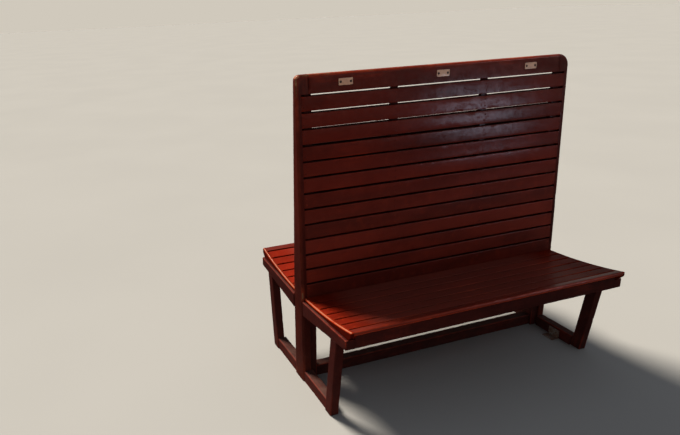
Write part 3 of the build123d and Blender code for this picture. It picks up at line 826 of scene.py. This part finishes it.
def turned_out(made):
    """Makes every face of a closed mesh point the same way as its neighbours."""
    P, quads, ends, edge, own, dirt_and_shade = made
    bm = bmesh.new()
    vs = [bm.verts.new(p) for p in P]
    fs = [bm.faces.new([vs[int(i)] for i in q]) for q in quads]
    es = [bm.faces.new([vs[int(i)] for i in e]) for e in ends]
    bmesh.ops.recalc_face_normals(bm, faces=bm.faces)
    bm.verts.index_update()
    quads = np.array([[v.index for v in f.verts] for f in fs])
    ends = [[v.index for v in f.verts] for f in es]
    bm.free()
    return P, quads, ends, edge, own, dirt_and_shade


for end, sx in ENDS:
    piece = Piece(end + "_post_painted", end + "_end_post", "frame_paint")
    piece.add(turned_out(post(CORNER_R[end])), 160 + sx, 0.3, 1.1, (sx, 1), tone=0.42)

    def top_corner(P):
        r = CORNER_R[end]
        away = np.hypot(np.abs(P[:, 0]) - (HALF - 0.35 * r), P[:, 2] - (HEIGHT - 0.25 * r))
        return (np.exp(-(away / 10.0) ** 2) * (1.3 if sx < 0 else 0.6)
                * smooth(half_at(P[:, 2]) - np.abs(P[:, 1]), 0.3, 1.8))

    # knocked bare on the top corners
    pale_rubs_and_highlight(piece.build(POST_PAINT_SHADED), top_corner)

    stud = Piece(end + "_stud_painted", end + "_end_stud", "frame_paint")

    def stud_section(z):
        h = float(half_at(z)) - SLAT_T
        return [(STUD_X, -h), (INNER_X, -h), (INNER_X, h), (STUD_X, h)]

    stud.add(sweep(0, RAIL_Z0, stud_section, lambda t, u, v: np.stack([u, v, t], 1),
                   [2, 0.5, 0.5, 2], 2, [2, 3, 2, 3], 22, (0.8, 0.3), 1, [1, 0, 0, 1]),
             170 + sx, 0.3, 0.6, (sx, 1), tone=0.2)
    stud.build(FRAME_PAINT_SHADED)

    mid = Piece(end + "_side_middle_stud_painted", end + "_side_middle_stud",
                "frame_paint")

    def mid_section(z):
        h = float(half_at(z)) - SLAT_T
        return [(-MID_STUD_T / 2, -h), (MID_STUD_T / 2, -h), (MID_STUD_T / 2, h),
                (-MID_STUD_T / 2, h)]

    mid.add(sweep(BEAM_TOP, RAIL_Z0, mid_section,
                  lambda t, u, v: np.stack([u + MID_STUD_X, v, t], 1),
                  [1, 1, 1, 1], 2, [1, 2, 1, 2], 25, (0.5, 0.5), 1), 180 + sx,
            0.3, 0.4, (sx, 1), tone=0.2)
    mid.build(FRAME_PAINT_SHADED)

# --------------------------------------------------------------------- seats
seat_rows = []
for i in range(SEAT_GAP_COUNT):
    front = FIRST_SEAT_GAP - i * SEAT_PITCH - SEAT_GAP / 2
    rear = (FIRST_SEAT_GAP - (i + 1) * SEAT_PITCH + SEAT_GAP / 2
            if i < SEAT_GAP_COUNT - 1 else POST_HALF)
    seat_rows.append((rear, front))


def slat_corners(y0, y1):
    z0, z1 = seat_z(y0), seat_z(y1)
    d = math.hypot(y1 - y0, z1 - z0)
    ny, nz = -(z1 - z0) / d, (y1 - y0) / d
    return ((y0, z0), (y1, z1), (y1 - SEAT_SLAT_T * ny, z1 - SEAT_SLAT_T * nz),
            (y0 - SEAT_SLAT_T * ny, z0 - SEAT_SLAT_T * nz))


nose = slat_corners(FIRST_SEAT_GAP + SEAT_GAP / 2, SEAT_HALF)
slope = (nose[2][1] - nose[3][1]) / (nose[2][0] - nose[3][0])
nose = (nose[0], nose[1], (SEAT_HALF, nose[3][1] + slope * (SEAT_HALF - nose[3][0])),
        nose[3])
apron_back = APRON_FRONT - APRON_T
foot_y, foot_z = slat_corners(*seat_rows[0])[2]
foot0_y, foot0_z = slat_corners(*seat_rows[0])[3]
apron_back_z = foot0_z + (foot_z - foot0_z) * (apron_back - foot0_y) / (foot_y - foot0_y)

for side, s in SIDES:
    piece = Piece("seat_slats_painted_" + side, "seat_slats_" + side, "seat_paint")
    for row, (y0, y1) in enumerate(seat_rows):
        seed += 1
        a, b, c, d = slat_corners(y0, y1)
        inner_slat = y0 == POST_HALF
        if inner_slat:
            d = (POST_HALF, d[1])
        corners = [d, c, b, a]
        made = sweep(-SLAT_X, SLAT_X, lambda t: corners, along_x,
                     [0.8, 0.8, 2.6, 0.5 if inner_slat else 2.6], 4, [2, 3, 5, 3], 10.0,
                     (0.3, 0.3), 1, [0, 0, 1, 0 if inner_slat else 1],
                     slot_sides=[0, -1, 0, 1], joint=0.2)
        # sat on for years: each place a little hollow
        P, quads, ends, edge, own, dirt_and_shade = made
        top = P[:, 2] > seat_z(np.abs(P[:, 1])) - 6
        place = (P[:, 0] + LENGTH / 2) / PLACE_PITCH % 1.0
        P[:, 2] -= np.where(top, 0.55 * np.sin(np.pi * place) ** 2, 0)
        # the far seat's slats get a lighter tone and the near seat's a darker one: painted
        # light and painted shade
        piece.add((P, quads, ends, edge, own, dirt_and_shade), seed, 0.35, 0.9, (1, s),
                  (0, 0 if inner_slat else rand(seed + 730, -0.5, 0.5),
                   -rand(seed + 720, 0.0, 0.5)),
                  s * rand(seed + 740, -0.004, 0.004),
                  tone=rand(seed + 750, 0.75, 1.0) if s > 0 else
                  rand(seed + 750, 0.0, 0.30))
    piece.build(SEAT_TOP_PAINT_WORN_AND_LIT)

    piece = Piece("seat_front_strip_painted_" + side, "seat_front_strip_" + side,
                  "seat_paint")
    corners = [nose[3], nose[2], nose[1], nose[0]]
    piece.add(sweep(-SLAT_X, SLAT_X, lambda t: corners, along_x, [0.8, 7, 7, 2.6], 6,
                    [3, 1, 3, 3], 7.0, (0.3, 0.3), 1, [0, 1, 1, 1],
                    slot_sides=[0, 0, 0, 1], joint=0.2),
              seed + 41, 0.3, 1.1, (1, s), tone=0.6)
    piece.build(SEAT_PAINT)

    piece = Piece("seat_apron_painted_" + side, "seat_apron_" + side, "frame_paint")
    corners = [(apron_back, line_z(RAIL_BOTTOM, apron_back)),
               (APRON_FRONT, line_z(RAIL_BOTTOM, APRON_FRONT)),
               (APRON_FRONT, nose[3][1] + slope * (APRON_FRONT - nose[3][0])),
               nose[3], (foot_y, foot_z), (apron_back, apron_back_z)]
    piece.add(sweep(-INNER_X, INNER_X, lambda t: corners, along_x,
                    [2, 3.2, 0.4, 0.2, 0.2, 0.4], 4, [2, 5, 1, 0, 0, 4], 10.0,
                    (0.3, 0.3), 1, [1, 1, 0, 0, 0, 0]), seed + 43, 0.3, 0.9, (1, s),
              tone=0.35)
    piece.build(FRAME_PAINT_SHADED)


def along_y(t, u, v):
    return np.stack([u, t, v], 1)


def bored(obj, x0, x1, y, z, r):
    """Drills a hole along X, in metres."""
    n = 40
    ring = [(math.cos(2 * math.pi * k / n) * r, math.sin(2 * math.pi * k / n) * r)
            for k in range(n)]
    vs = [(x0, y + a, z + b) for a, b in ring] + [(x1, y + a, z + b) for a, b in ring]
    fs = [[k, (k + 1) % n, n + (k + 1) % n, n + k] for k in range(n)]
    fs += [list(range(n))[::-1], list(range(n, 2 * n))]
    mesh = bpy.data.meshes.new("drill")
    mesh.from_pydata(vs, [], fs)
    drill = bpy.data.objects.new("drill", mesh)
    bpy.context.scene.collection.objects.link(drill)
    cut(obj, drill)


def cut(obj, tool):
    mod = obj.modifiers.new("cut", "BOOLEAN")
    mod.operation, mod.solver, mod.object = "DIFFERENCE", "EXACT", tool
    while obj.modifiers[0] != mod:
        bpy.context.view_layer.objects.active = obj
        obj.modifiers.move(obj.modifiers.find("cut"), 0)
    normals = obj.modifiers.get("normals")
    if normals:
        normals.show_viewport = False
    dg = bpy.context.evaluated_depsgraph_get()
    mesh = bpy.data.meshes.new_from_object(obj.evaluated_get(dg))
    old = obj.data
    obj.modifiers.remove(mod)
    name = old.name
    obj.data = mesh
    bpy.data.meshes.remove(old)
    mesh.name = name
    mesh.set_sharp_from_angle(angle=math.radians(58))
    if normals:
        normals.show_viewport = True
    bpy.data.objects.remove(tool)


for end, sx in ENDS:
    for side, s in SIDES:
        tag = end + "_" + side
        seed += 5

        def bed_z(y):                       # underside of the seat slats
            return seat_z(y) - SEAT_SLAT_T * math.sqrt(1 + (2 * DISH_K * y) ** 2) - 0.3

        def rail_section(y):
            b, t = line_z(RAIL_BOTTOM, y), line_z(RAIL_TOP, y)
            low = min(t - 0.6, bed_z(y))
            return [(INNER_X, b), (HALF, b), (HALF, t), (SLAT_X, t), (SLAT_X, low),
                    (INNER_X, low)]

        rail = Piece("seat_end_rail_painted_" + tag, "seat_end_rail_" + tag,
                     "frame_paint")
        rail.add(sweep(POST_HALF, APRON_FRONT, rail_section, along_y,
                       [1.2, 3.2, 3.4, 0.2, 0.1, 0.3], 4, [2, 4, 1, 0, 1, 2], 8.0,
                       (0.5, 3.0), 3, [0, 1, 1, 0, 0, 0], (0, 1),
                       [1, 1, 0.4, 0, 0.4, 0]), seed, 0.3, 1.0, (sx, s), tone=0.4)
        rail = rail.build(FRAME_PAINT_SHADED)

        def cap_foot(y):
            return (line_z(RAIL_TOP, y) if y <= APRON_FRONT - 3 else
                    line_z(RAIL_TOP, APRON_FRONT - 3)
                    + (y - APRON_FRONT + 3) / (SEAT_HALF - APRON_FRONT + 3)
                    * (seat_z(SEAT_HALF) - 18 - line_z(RAIL_TOP, APRON_FRONT - 3)))

        # lip beside the slats, and the wedge that they lie on
        cap = Piece("seat_end_cap_painted_" + tag, "seat_end_cap_" + tag, "seat_paint")
        P, quads, ends, edge, own, dirt_and_shade = sweep(
            POST_HALF, SEAT_HALF,
            lambda y: [(SLAT_X, cap_foot(y)), (HALF - SEAT_INSET, cap_foot(y)),
                       (HALF - SEAT_INSET, seat_z(y)), (SLAT_X, seat_z(y))],
            along_y, [0.3, 1.0, 7.0, 0.5], 6, [1, 3, 2, 2], 7.0, (0.4, 7.0), 5,
            [0, 0, 1, 0], (0, 1), [1, 1, 1, 0])
        # its outer face below the lip is darkened and rubbed less: painted shade on that side
        depth = seat_z(np.abs(P[:, 1])) - P[:, 2]
        cap_side_shade = smooth(depth, 3.2, 6.5)
        cap.add((P, quads, ends, edge, own, dirt_and_shade), seed + 1, 0.25, 0.9, (sx, s),
                tone=0.65, dark=0.84 * cap_side_shade,
                wear=wear_at(P * (sx, s, 1)) * (1 - 0.85 * cap_side_shade))
        # the wedge under the slats is darkened all over: painted shade
        cap.add(sweep(236.0, SEAT_HALF - 7,
                      lambda y: [(INNER_X, cap_foot(y)), (SLAT_X, cap_foot(y)),
                                 (SLAT_X, bed_z(y)), (INNER_X, bed_z(y))],
                      along_y, [0.1, 0.1, 0.1, 0.1], 1, [1, 1, 1, 1], 14.0, (0.1, 0.1), 1,
                      [0, 0, 0, 0]), seed + 201, 0.0, 0.0, (sx, s), tone=0.3, dark=0.6)

        def cap_line(P):
            depth = seat_z(np.abs(P[:, 1])) - P[:, 2]
            inset = HALF - SEAT_INSET - np.abs(P[:, 0])
            return ((1 - smooth(depth, 1.4, 3.8)) * (1 - smooth(inset, 4.0, 8.0))
                    * (0.86 + 0.14 * vnoise(P / 45.0, seed + 77))
                    * (1.0 if sx < 0 else 0.75))

        # a pale line along its rounded edge: partly rubbed paint, partly a painted highlight
        pale_rubs_and_highlight(cap.build(SEAT_TOP_PAINT_WORN_AND_LIT), cap_line)

        def bearer_top(y):
            if y < POST_HALF - SLAT_T:
                return BEAM_TOP
            return SLAT_FOOT if y < POST_HALF else bed_z(y)

        bearer = Piece("seat_end_bearer_painted_" + tag, "seat_end_bearer_" + tag,
                       "frame_paint")
        bearer.add(sweep(POST_HALF - SLAT_T, apron_back,
                         lambda y: [(STUD_X, line_z(RAIL_BOTTOM, max(y, POST_HALF))),
                                    (INNER_X, line_z(RAIL_BOTTOM, max(y, POST_HALF))),
                                    (INNER_X, bearer_top(y)), (STUD_X, bearer_top(y))],
                         along_y, [2, 0.6, 0.4, 0.4], 2, [2, 2, 2, 2], 12.0,
                         (0.4, 0.4), 1, [1, 0, 0, 0]), seed + 2, 0.2, 0.6, (sx, s),
                   tone=0.2)
        bearer = bearer.build(FRAME_PAINT_SHADED)
        if sx > 0:
            for obj in (rail, bearer):
                bored(obj, (STUD_X - 8) / 1000, (HALF + 8) / 1000,
                      s * WALL_HOLE_Y / 1000, WALL_HOLE_Z / 1000, WALL_HOLE_R / 1000)

        middle = Piece("seat_middle_bearer_painted_" + tag, "seat_middle_bearer_" + tag,
                       "frame_paint")
        middle.add(sweep(BEAM_HALF, apron_back,
                         lambda y: [(-MID_STUD_T / 2, line_z(RAIL_BOTTOM, max(y, POST_HALF))),
                                    (MID_STUD_T / 2, line_z(RAIL_BOTTOM, max(y, POST_HALF))),
                                    (MID_STUD_T / 2, bearer_top(y)),
                                    (-MID_STUD_T / 2, bearer_top(y))],
                         lambda t, u, v: np.stack([u + MID_STUD_X, t, v], 1),
                         [2, 2, 0.4, 0.4], 2, [2, 2, 2, 2], 12.0, (0.4, 0.4), 1,
                         [1, 1, 0, 0]), seed + 3, 0.2, 0.6, (sx, s), tone=0.2)
        middle.build(FRAME_PAINT_SHADED)

        # leg: t runs from 0 at the floor to 1 at the rail
        def leg_place(t, u, v):
            y_foot = LEG_FOOT + v
            top = ((RAIL_BOTTOM[0] + RAIL_BOTTOM[1] * y_foot)
                   / (1 - RAIL_BOTTOM[1] * LEG_SLOPE))
            z = t / 350.0 * top
            return np.stack([u, y_foot + LEG_SLOPE * z, z], 1)

        leg = Piece("leg_painted_" + tag, "leg_" + tag, "frame_paint")
        leg.add(sweep(0.0, 350.0,
                      lambda t: [(INNER_X, 0), (HALF, 0), (HALF, LEG_W), (INNER_X, LEG_W)],
                      leg_place, [2.5, 4.5, 4.5, 2.5], 4, [2, 4, 2, 4], 8.0, (1.4, 0.4),
                      2, [1, 1, 1, 1]), seed + 4, 0.3, 1.2, (sx, s), tone=0.4)
        leg.build(FRAME_PAINT_SHADED)

        # sill: its outer end follows the slope of the leg
        def sill_place(t, u, v):
            far = LEG_FOOT + LEG_SLOPE * v
            return np.stack([u, POST_HALF + t / 200.0 * (far - POST_HALF), v], 1)

        x0, x1 = HALF - SILL_INSET - SILL_D, HALF - SILL_INSET
        sill = Piece("floor_sill_painted_" + tag, "floor_sill_" + tag, "frame_paint")
        sill.add(sweep(0.0, 200.0,
                       lambda t: [(x0, 0), (x1, 0), (x1, SILL_H), (x0, SILL_H)],
                       sill_place, [1.5, 1.5, 5.0, 3.0], 4, [2, 4, 3, 3], 7.0,
                       (0.5, 0.5), 1, [0, 1, 1, 1]), seed + 104, 0.35, 1.5, (sx, s),
                 tone=0.45)
        sill.build(FRAME_PAINT_SHADED)

beam = Piece("centre_beam_painted", "centre_beam", "frame_paint")
beam.add(sweep(-STUD_X, STUD_X, lambda t: [(-BEAM_HALF, BEAM_BOTTOM),
                                           (BEAM_HALF, BEAM_BOTTOM),
                                           (BEAM_HALF, BEAM_TOP), (-BEAM_HALF, BEAM_TOP)],
               along_x, [2.5, 2.5, 1, 1], 3, [3, 3, 3, 3], 16.0, (0.5, 0.5), 1,
               [1, 1, 0, 0]), 801, 0.3, 0.8, tone=0.25)
beam.build(FRAME_PAINT_SHADED)
stretcher = Piece("floor_stretcher_painted", "floor_stretcher", "frame_paint")
stretcher.add(sweep(-STUD_X, STUD_X, lambda t: [(-STRETCHER_HALF, 0), (STRETCHER_HALF, 0),
                                                (STRETCHER_HALF, STRETCHER_H),
                                                (-STRETCHER_HALF, STRETCHER_H)],
                    along_x, [1.5, 1.5, 4, 4], 4, [2, 3, 3, 3], 12.0, (0.5, 0.5), 1,
                    [0, 0, 1, 1]), 803, 0.3, 1.2, tone=0.3)
stretcher.build(FRAME_PAINT_SHADED)


# ------------------------------------------------------------------ fittings
def turned(rows, count, squash=None):
    """Closed solid of revolution about local Z from rows of (radius, height)."""
    P, faces = [], []
    for r, h in rows:
        for k in range(count):
            a = 2 * math.pi * k / count
            P.append((r * math.cos(a), r * math.sin(a), h))
    for j in range(len(rows) - 1):
        for k in range(count):
            faces.append([j * count + k, j * count + (k + 1) % count,
                          (j + 1) * count + (k + 1) % count, (j + 1) * count + k])
    faces.append(list(range(count))[::-1])
    faces.append([(len(rows) - 1) * count + k for k in range(count)])
    return P, faces


def box_mesh(x0, x1, y0, y1, z0, z1):
    P = [(x, y, z) for z in (z0, z1) for y in (y0, y1) for x in (x0, x1)]
    return P, [[0, 2, 3, 1], [4, 5, 7, 6], [0, 1, 5, 4], [1, 3, 7, 5], [3, 2, 6, 7],
               [2, 0, 4, 6]]


def as_object(name, P, faces):
    mesh = bpy.data.meshes.new(name)
    mesh.from_pydata([tuple(c / 1000 for c in p) for p in P], [], faces)
    obj = bpy.data.objects.new(name, mesh)
    bpy.context.scene.collection.objects.link(obj)
    return obj


def slotted(rows, count, width, depth, top):
    """Screw head with a slot.  Returns points in mm, faces, slot share."""
    head = as_object("head", *turned(rows, count))
    r = max(r for r, _ in rows) + 1
    cut(head, as_object("blade", *box_mesh(-r, r, -width / 2, width / 2, top - depth,
                                           top + 2)))
    P = np.array([v.co[:] for v in head.data.vertices]) * 1000
    faces = [list(p.vertices) for p in head.data.polygons]
    mesh = head.data
    bpy.data.objects.remove(head)
    bpy.data.meshes.remove(mesh)
    slot = ((np.abs(P[:, 1]) < width / 2 + 0.02) & (P[:, 2] < top - depth * 0.6)
            & (P[:, 2] > top - depth - 0.05)).astype(float)
    return P, faces, slot


WOOD_SCREW = slotted([(4.1, -0.8), (4.1, 0.05), (3.95, 0.22), (3.3, 0.42), (2.2, 0.56),
                      (0.9, 0.62)], 28, 1.0, 0.42, 0.62)
PLATE_SCREW = slotted([(5.1, -0.5), (5.1, 0.10), (4.85, 0.34), (3.9, 0.62), (2.2, 0.80),
                       (0.7, 0.86)], 32, 1.2, 0.55, 0.86)


class Fittings(Piece):
    def put(self, template, at, u, v, n, spin, seed, sink=0.0, wear=0.3, dust=0.0):
        """Template at a point in mm, with its Z along n."""
        P, faces, slot = template
        c, s = math.cos(spin), math.sin(spin)
        local = np.stack([P[:, 0] * c - P[:, 1] * s, P[:, 0] * s + P[:, 1] * c,
                          P[:, 2] - sink], 1)
        basis = np.array([u, v, n], float)
        Q = local @ basis + np.asarray(at, float)
        if np.dot(np.cross(basis[0], basis[1]), basis[2]) < 0:
            faces = [f[::-1] for f in faces]
        self.faces += [[i + self.count for i in f] for f in faces]
        self.count += len(Q)
        self.P.append(Q / 1000)
        self.grain.append(Q / 1000 + rand(seed + 5, 0, 30))
        radius = np.hypot(P[:, 0], P[:, 1])
        for key, value in (("ed", 1.5 + np.maximum(radius.max() - radius, 0)),
                           # the slot is darkened: painted shade in it
                           ("wear", wear), ("dust", dust), ("dark", slot * 0.9),
                           ("tone", rand(seed + 9))):
            self.data[key].append(np.broadcast_to(np.asarray(value, float),
                                                  (len(Q),)).astype(np.float32))


lean = math.atan(LEAN)
for side, s in SIDES:
    screws = Fittings("back_screws_" + side, None, "seat_paint")
    k = 2000 if s < 0 else 3000
    for z0, z1 in slat_rows:
        for x in (-609, -MID_STUD_X, MID_STUD_X, 609):
            for z in (z0 + 14, z1 - 14):
                k += 1
                if z < TAPER_Z:
                    n, up = (0, s, 0), (0, 0, 1)
                else:
                    n = (0, s * math.cos(lean), math.sin(lean))
                    up = (0, -s * math.sin(lean), math.cos(lean))
                at = (x + rand(k, -2.2, 2.2), s * float(half_at(z)),
                      z + rand(k + 1, -1.8, 1.8))
                screws.put(WOOD_SCREW, at, (1, 0, 0), up, n, rand(k + 2, 0, math.pi), k,
                           rand(k + 3, 0.45, 0.75), 0.35)
    screws.build(SEAT_PAINT, False)

    screws = Fittings("seat_screws_" + side, None, "seat_paint")
    k += 500
    for y0, y1 in seat_rows + [(FIRST_SEAT_GAP + SEAT_GAP / 2, SEAT_HALF)]:
        wide = y1 - y0 > 45
        for x in (-588, -MID_STUD_X, MID_STUD_X, 588):
            for y in ((y0 + 13, y1 - 13) if wide else ((y0 + y1) / 2 - 6,)):
                k += 1
                a = math.atan(2 * DISH_K * y)
                n = (0, -s * math.sin(a), math.cos(a))
                at = (x + rand(k, -2.2, 2.2), s * (y + rand(k + 1, -1.5, 1.5)),
                      seat_z(y))
                screws.put(WOOD_SCREW, at, (1, 0, 0), (0, s * math.cos(a), math.sin(a)),
                           n, rand(k + 2, 0, math.pi), k, rand(k + 3, 0.65, 0.95), 0.7)
    screws.build(SEAT_TOP_PAINT_WORN_AND_LIT, False)

    # number plates, blank, each held by two screws
    plates = Piece("number_plates_enamel_" + side, "number_plates_" + side,
                   "plate_enamel")
    screws = Fittings("plate_screws_" + side, None, "bracket_steel")
    face = s * float(half_at(PLATE_Z))
    for j, kx in enumerate((-1, 0, 1)):
        corners = [(-PLATE_W / 2, -PLATE_H / 2), (PLATE_W / 2, -PLATE_H / 2),
                   (PLATE_W / 2, PLATE_H / 2), (-PLATE_W / 2, PLATE_H / 2)]

        def plate_place(t, u, v):
            dome = 0.35 * (1 - (u / 32) ** 2) * (1 - (v / 15) ** 2) * (t > 0.5)
            out = np.minimum(t, PLATE_T - 0.35) + dome
            return np.stack([kx * PLACE_PITCH + u,
                             face + s * (out * math.cos(lean) - v * math.sin(lean)),
                             PLATE_Z + v * math.cos(lean) + out * math.sin(lean)], 1)

        # rings from the rim inward make the slightly domed face
        made = sweep(0.0, PLATE_T - 0.35, lambda t: corners, lambda t, u, v:
                     plate_place(t, u, v), [3, 3, 3, 3], 5, [9, 5, 9, 5], 2.0,
                     (0.05, 0.5), 3, [0, 0, 0, 0], (0, 0))
        P, quads, ends, edge, own, dirt_and_shade = made
        m = len(ends[1])
        base = np.array(ends[1])
        rings = [base]
        local = own[base][:, 1:]
        extra_P, extra_own, extra_edge = [], [], []
        edge = np.where(own[:, 0] > 0.9, 0.4, 0.0)
        for f in (0.93, 0.82, 0.62, 0.36, 0.12):
            uv = local * f
            extra_P.append(plate_place(np.full(m, PLATE_T), uv[:, 0], uv[:, 1]))
            extra_own.append(np.column_stack([np.full(m, PLATE_T), uv]))
            extra_edge.append(np.minimum(PLATE_W / 2 - np.abs(uv[:, 0]),
                                         PLATE_H / 2 - np.abs(uv[:, 1])))
            rings.append(len(P) + np.arange(m) + m * (len(rings) - 1))
        P = np.concatenate([P] + extra_P)
        own = np.concatenate([own] + extra_own)
        edge = np.concatenate([edge] + extra_edge)
        idx = np.arange(m)
        more = [np.stack([a[idx], a[(idx + 1) % m], b[(idx + 1) % m], b[idx]], 1)
                for a, b in zip(rings, rings[1:])]
        quads = np.concatenate([quads] + more)
        ends = [ends[0], list(rings[-1])]
        plates.add(turned_out((P, quads, ends, edge, own, np.zeros(len(P)))), 900 + j,
                   0.0, 0.0,
                   tone=rand(905 + j), wear=0.5, dust=0.0)
        for sign in (-1, 1):
            at = plate_place(np.array([PLATE_T]), np.array([sign * 21.5]),
                             np.array([0.0]))[0]
            screws.put(PLATE_SCREW, at, (1, 0, 0),
                       (0, -s * math.sin(lean), math.cos(lean)),
                       (0, s * math.cos(lean), math.sin(lean)),
                       rand(950 + j * 3 + sign, 0, math.pi), 960 + j, 0.12)
    plates.build(ENAMEL)
    screws.build(SCREW_STEEL, False)

hexagon = turned([(7.5, 0.0), (7.5, 1.2), (6.4, 1.25)], 36)
head = turned([(5.8, 1.2), (5.9, 4.6), (5.1, 5.3), (2.0, 5.45)], 6)
HEX_SCREW = (np.array(hexagon[0] + head[0], float),
             hexagon[1] + [[i + len(hexagon[0]) for i in f] for f in head[1]],
             np.zeros(len(hexagon[0]) + len(head[0])))
for end, sx in ENDS:
    brackets = Piece("floor_brackets_steel_" + end, "floor_brackets_" + end,
                     "bracket_steel")
    screws = Fittings("bracket_screws_" + end, None, "bracket_steel")
    face_x = HALF - SILL_INSET - SILL_D
    corners = [(face_x - BRACKET_LEAF, 0), (face_x, 0), (face_x, BRACKET_LEAF),
               (face_x - BRACKET_T, BRACKET_LEAF), (face_x - BRACKET_T, BRACKET_T),
               (face_x - BRACKET_LEAF, BRACKET_T)]
    for _, s in SIDES:
        brackets.add(sweep(s * FLOOR_HOLE_Y - BRACKET_L / 2,
                           s * FLOOR_HOLE_Y + BRACKET_L / 2, lambda t: corners, along_y,
                           [0.8, 2.0, 0.8, 0.8, 3.0, 0.8], 4, [6, 6, 0, 6, 6, 0], 6.0,
                           (0.5, 0.5), 2), 980 + sx + s, 0.0, 0.15, (sx, 1), dust=1.0)
        for dy in (-18, 18):
            screws.put(HEX_SCREW, (sx * (face_x - BRACKET_T), s * FLOOR_HOLE_Y + dy, 25),
                       (0, 1, 0), (0, 0, 1), (-sx, 0, 0), rand(990 + dy + s, 0, 1),
                       991 + dy)
    obj = brackets.build(BRACKET_STEEL)
    for _, s in SIDES:
        n = 40
        ring = [(math.cos(2 * math.pi * k / n) * FLOOR_HOLE_R,
                 math.sin(2 * math.pi * k / n) * FLOOR_HOLE_R) for k in range(n)]
        x, y = sx * FLOOR_HOLE_X, s * FLOOR_HOLE_Y
        P = [(x + a, y + b, -3) for a, b in ring] + [(x + a, y + b, 8) for a, b in ring]
        F = [[k, (k + 1) % n, n + (k + 1) % n, n + k] for k in range(n)]
        F += [list(range(n))[::-1], list(range(n, 2 * n))]
        cut(obj, as_object("drill", P, F))
    screws.build(BRACKET_STEEL, False)

# ------------------------------------------------------------ floor and light
floor_tree = Tree("studio_floor")
speckle = floor_tree.noise(floor_tree.coords(), 0.8, 2, 0.5)
floor_tree.put(floor_tree.bsdf.inputs["Base Color"],
               floor_tree.mix(floor_tree.span(speckle, 0.3, 0.7), (0.300, 0.306, 0.308),
                              (0.309, 0.315, 0.317)))
floor_tree.bsdf.inputs["Roughness"].default_value = 0.9
floor_tree.bsdf.inputs["Specular IOR Level"].default_value = 0.0
mesh = bpy.data.meshes.new("studio_floor")
mesh.from_pydata([(-60, -60, -0.0004), (60, -60, -0.0004), (60, 60, -0.0004),
                    (-60, 60, -0.0004)], [],
                 [[0, 1, 2, 3]])
mesh.materials.append(floor_tree.mat)
floor = bpy.data.objects.new("studio_floor", mesh)
bpy.context.scene.collection.objects.link(floor)
floor.visible_glossy = False


def lamp(name, at, aim, size, power, colour, size_y=None):
    light = bpy.data.lights.new(name, "AREA")
    light.energy, light.color = power, colour
    light.size = size
    if size_y:
        light.shape, light.size_y = "RECTANGLE", size_y
    obj = bpy.data.objects.new(name, light)
    obj.location = at
    obj.rotation_mode = "QUATERNION"
    obj.rotation_quaternion = (Vector(aim) - Vector(at)).to_track_quat("-Z", "Y")
    bpy.context.scene.collection.objects.link(obj)
    return obj


sun = bpy.data.lights.new("ceiling_soft", "SUN")
sun.energy, sun.angle, sun.color = 8.2, math.radians(18), (1.0, 0.89, 0.74)
obj = bpy.data.objects.new("ceiling_soft", sun)
obj.rotation_mode = "QUATERNION"
obj.rotation_quaternion = Vector((0.25, -0.71, -0.74)).to_track_quat("-Z", "Y")
bpy.context.scene.collection.objects.link(obj)
# two that only show in the gloss: a window low on the right, and one above it
window = lamp("window_soft", (3.75, -4.5, 0.42), (0.2, 0, 0.9), 0.9, 19,
              (0.68, 0.78, 1.0), 0.55)
high = lamp("high_soft", (2.9, -2.2, 3.1), (0.2, 0, 0.8), 1.8, 24, (0.86, 0.90, 1.0), 0.6)
for obj in (window, high):
    obj.visible_diffuse = False
    obj.visible_camera = False
# pale at the horizon like the floor, darker overhead
world = bpy.data.worlds.new("studio")
world.use_nodes = True
nodes, links = world.node_tree.nodes, world.node_tree.links
where = nodes.new("ShaderNodeTexCoord")
split = nodes.new("ShaderNodeSeparateXYZ")
rise = nodes.new("ShaderNodeMapRange")
rise.interpolation_type = "SMOOTHSTEP"
rise.inputs["From Min"].default_value, rise.inputs["From Max"].default_value = 0.02, 0.42
mixed = nodes.new("ShaderNodeMix")
mixed.data_type = "RGBA"
sockets = [k for k in mixed.inputs if k.enabled]
sockets[1].default_value = (0.631, 0.583, 0.503, 1)
sockets[2].default_value = (0.255, 0.262, 0.280, 1)
links.new(where.outputs["Generated"], split.inputs[0])
links.new(split.outputs["Z"], rise.inputs["Value"])
links.new(rise.outputs["Result"], sockets[0])
# and dark under the floor, which only the gloss of the paint sees
sink = nodes.new("ShaderNodeMapRange")
sink.interpolation_type = "SMOOTHSTEP"
sink.inputs["From Min"].default_value, sink.inputs["From Max"].default_value = -0.14, -0.04
sink.inputs["To Min"].default_value, sink.inputs["To Max"].default_value = 0.06, 1.0
links.new(split.outputs["Z"], sink.inputs["Value"])
links.new([k for k in mixed.outputs if k.enabled][0],
          nodes["Background"].inputs[0])
links.new(sink.outputs["Result"], nodes["Background"].inputs[1])
bpy.context.scene.world = world
bpy.context.scene.view_settings.view_transform = "Standard"
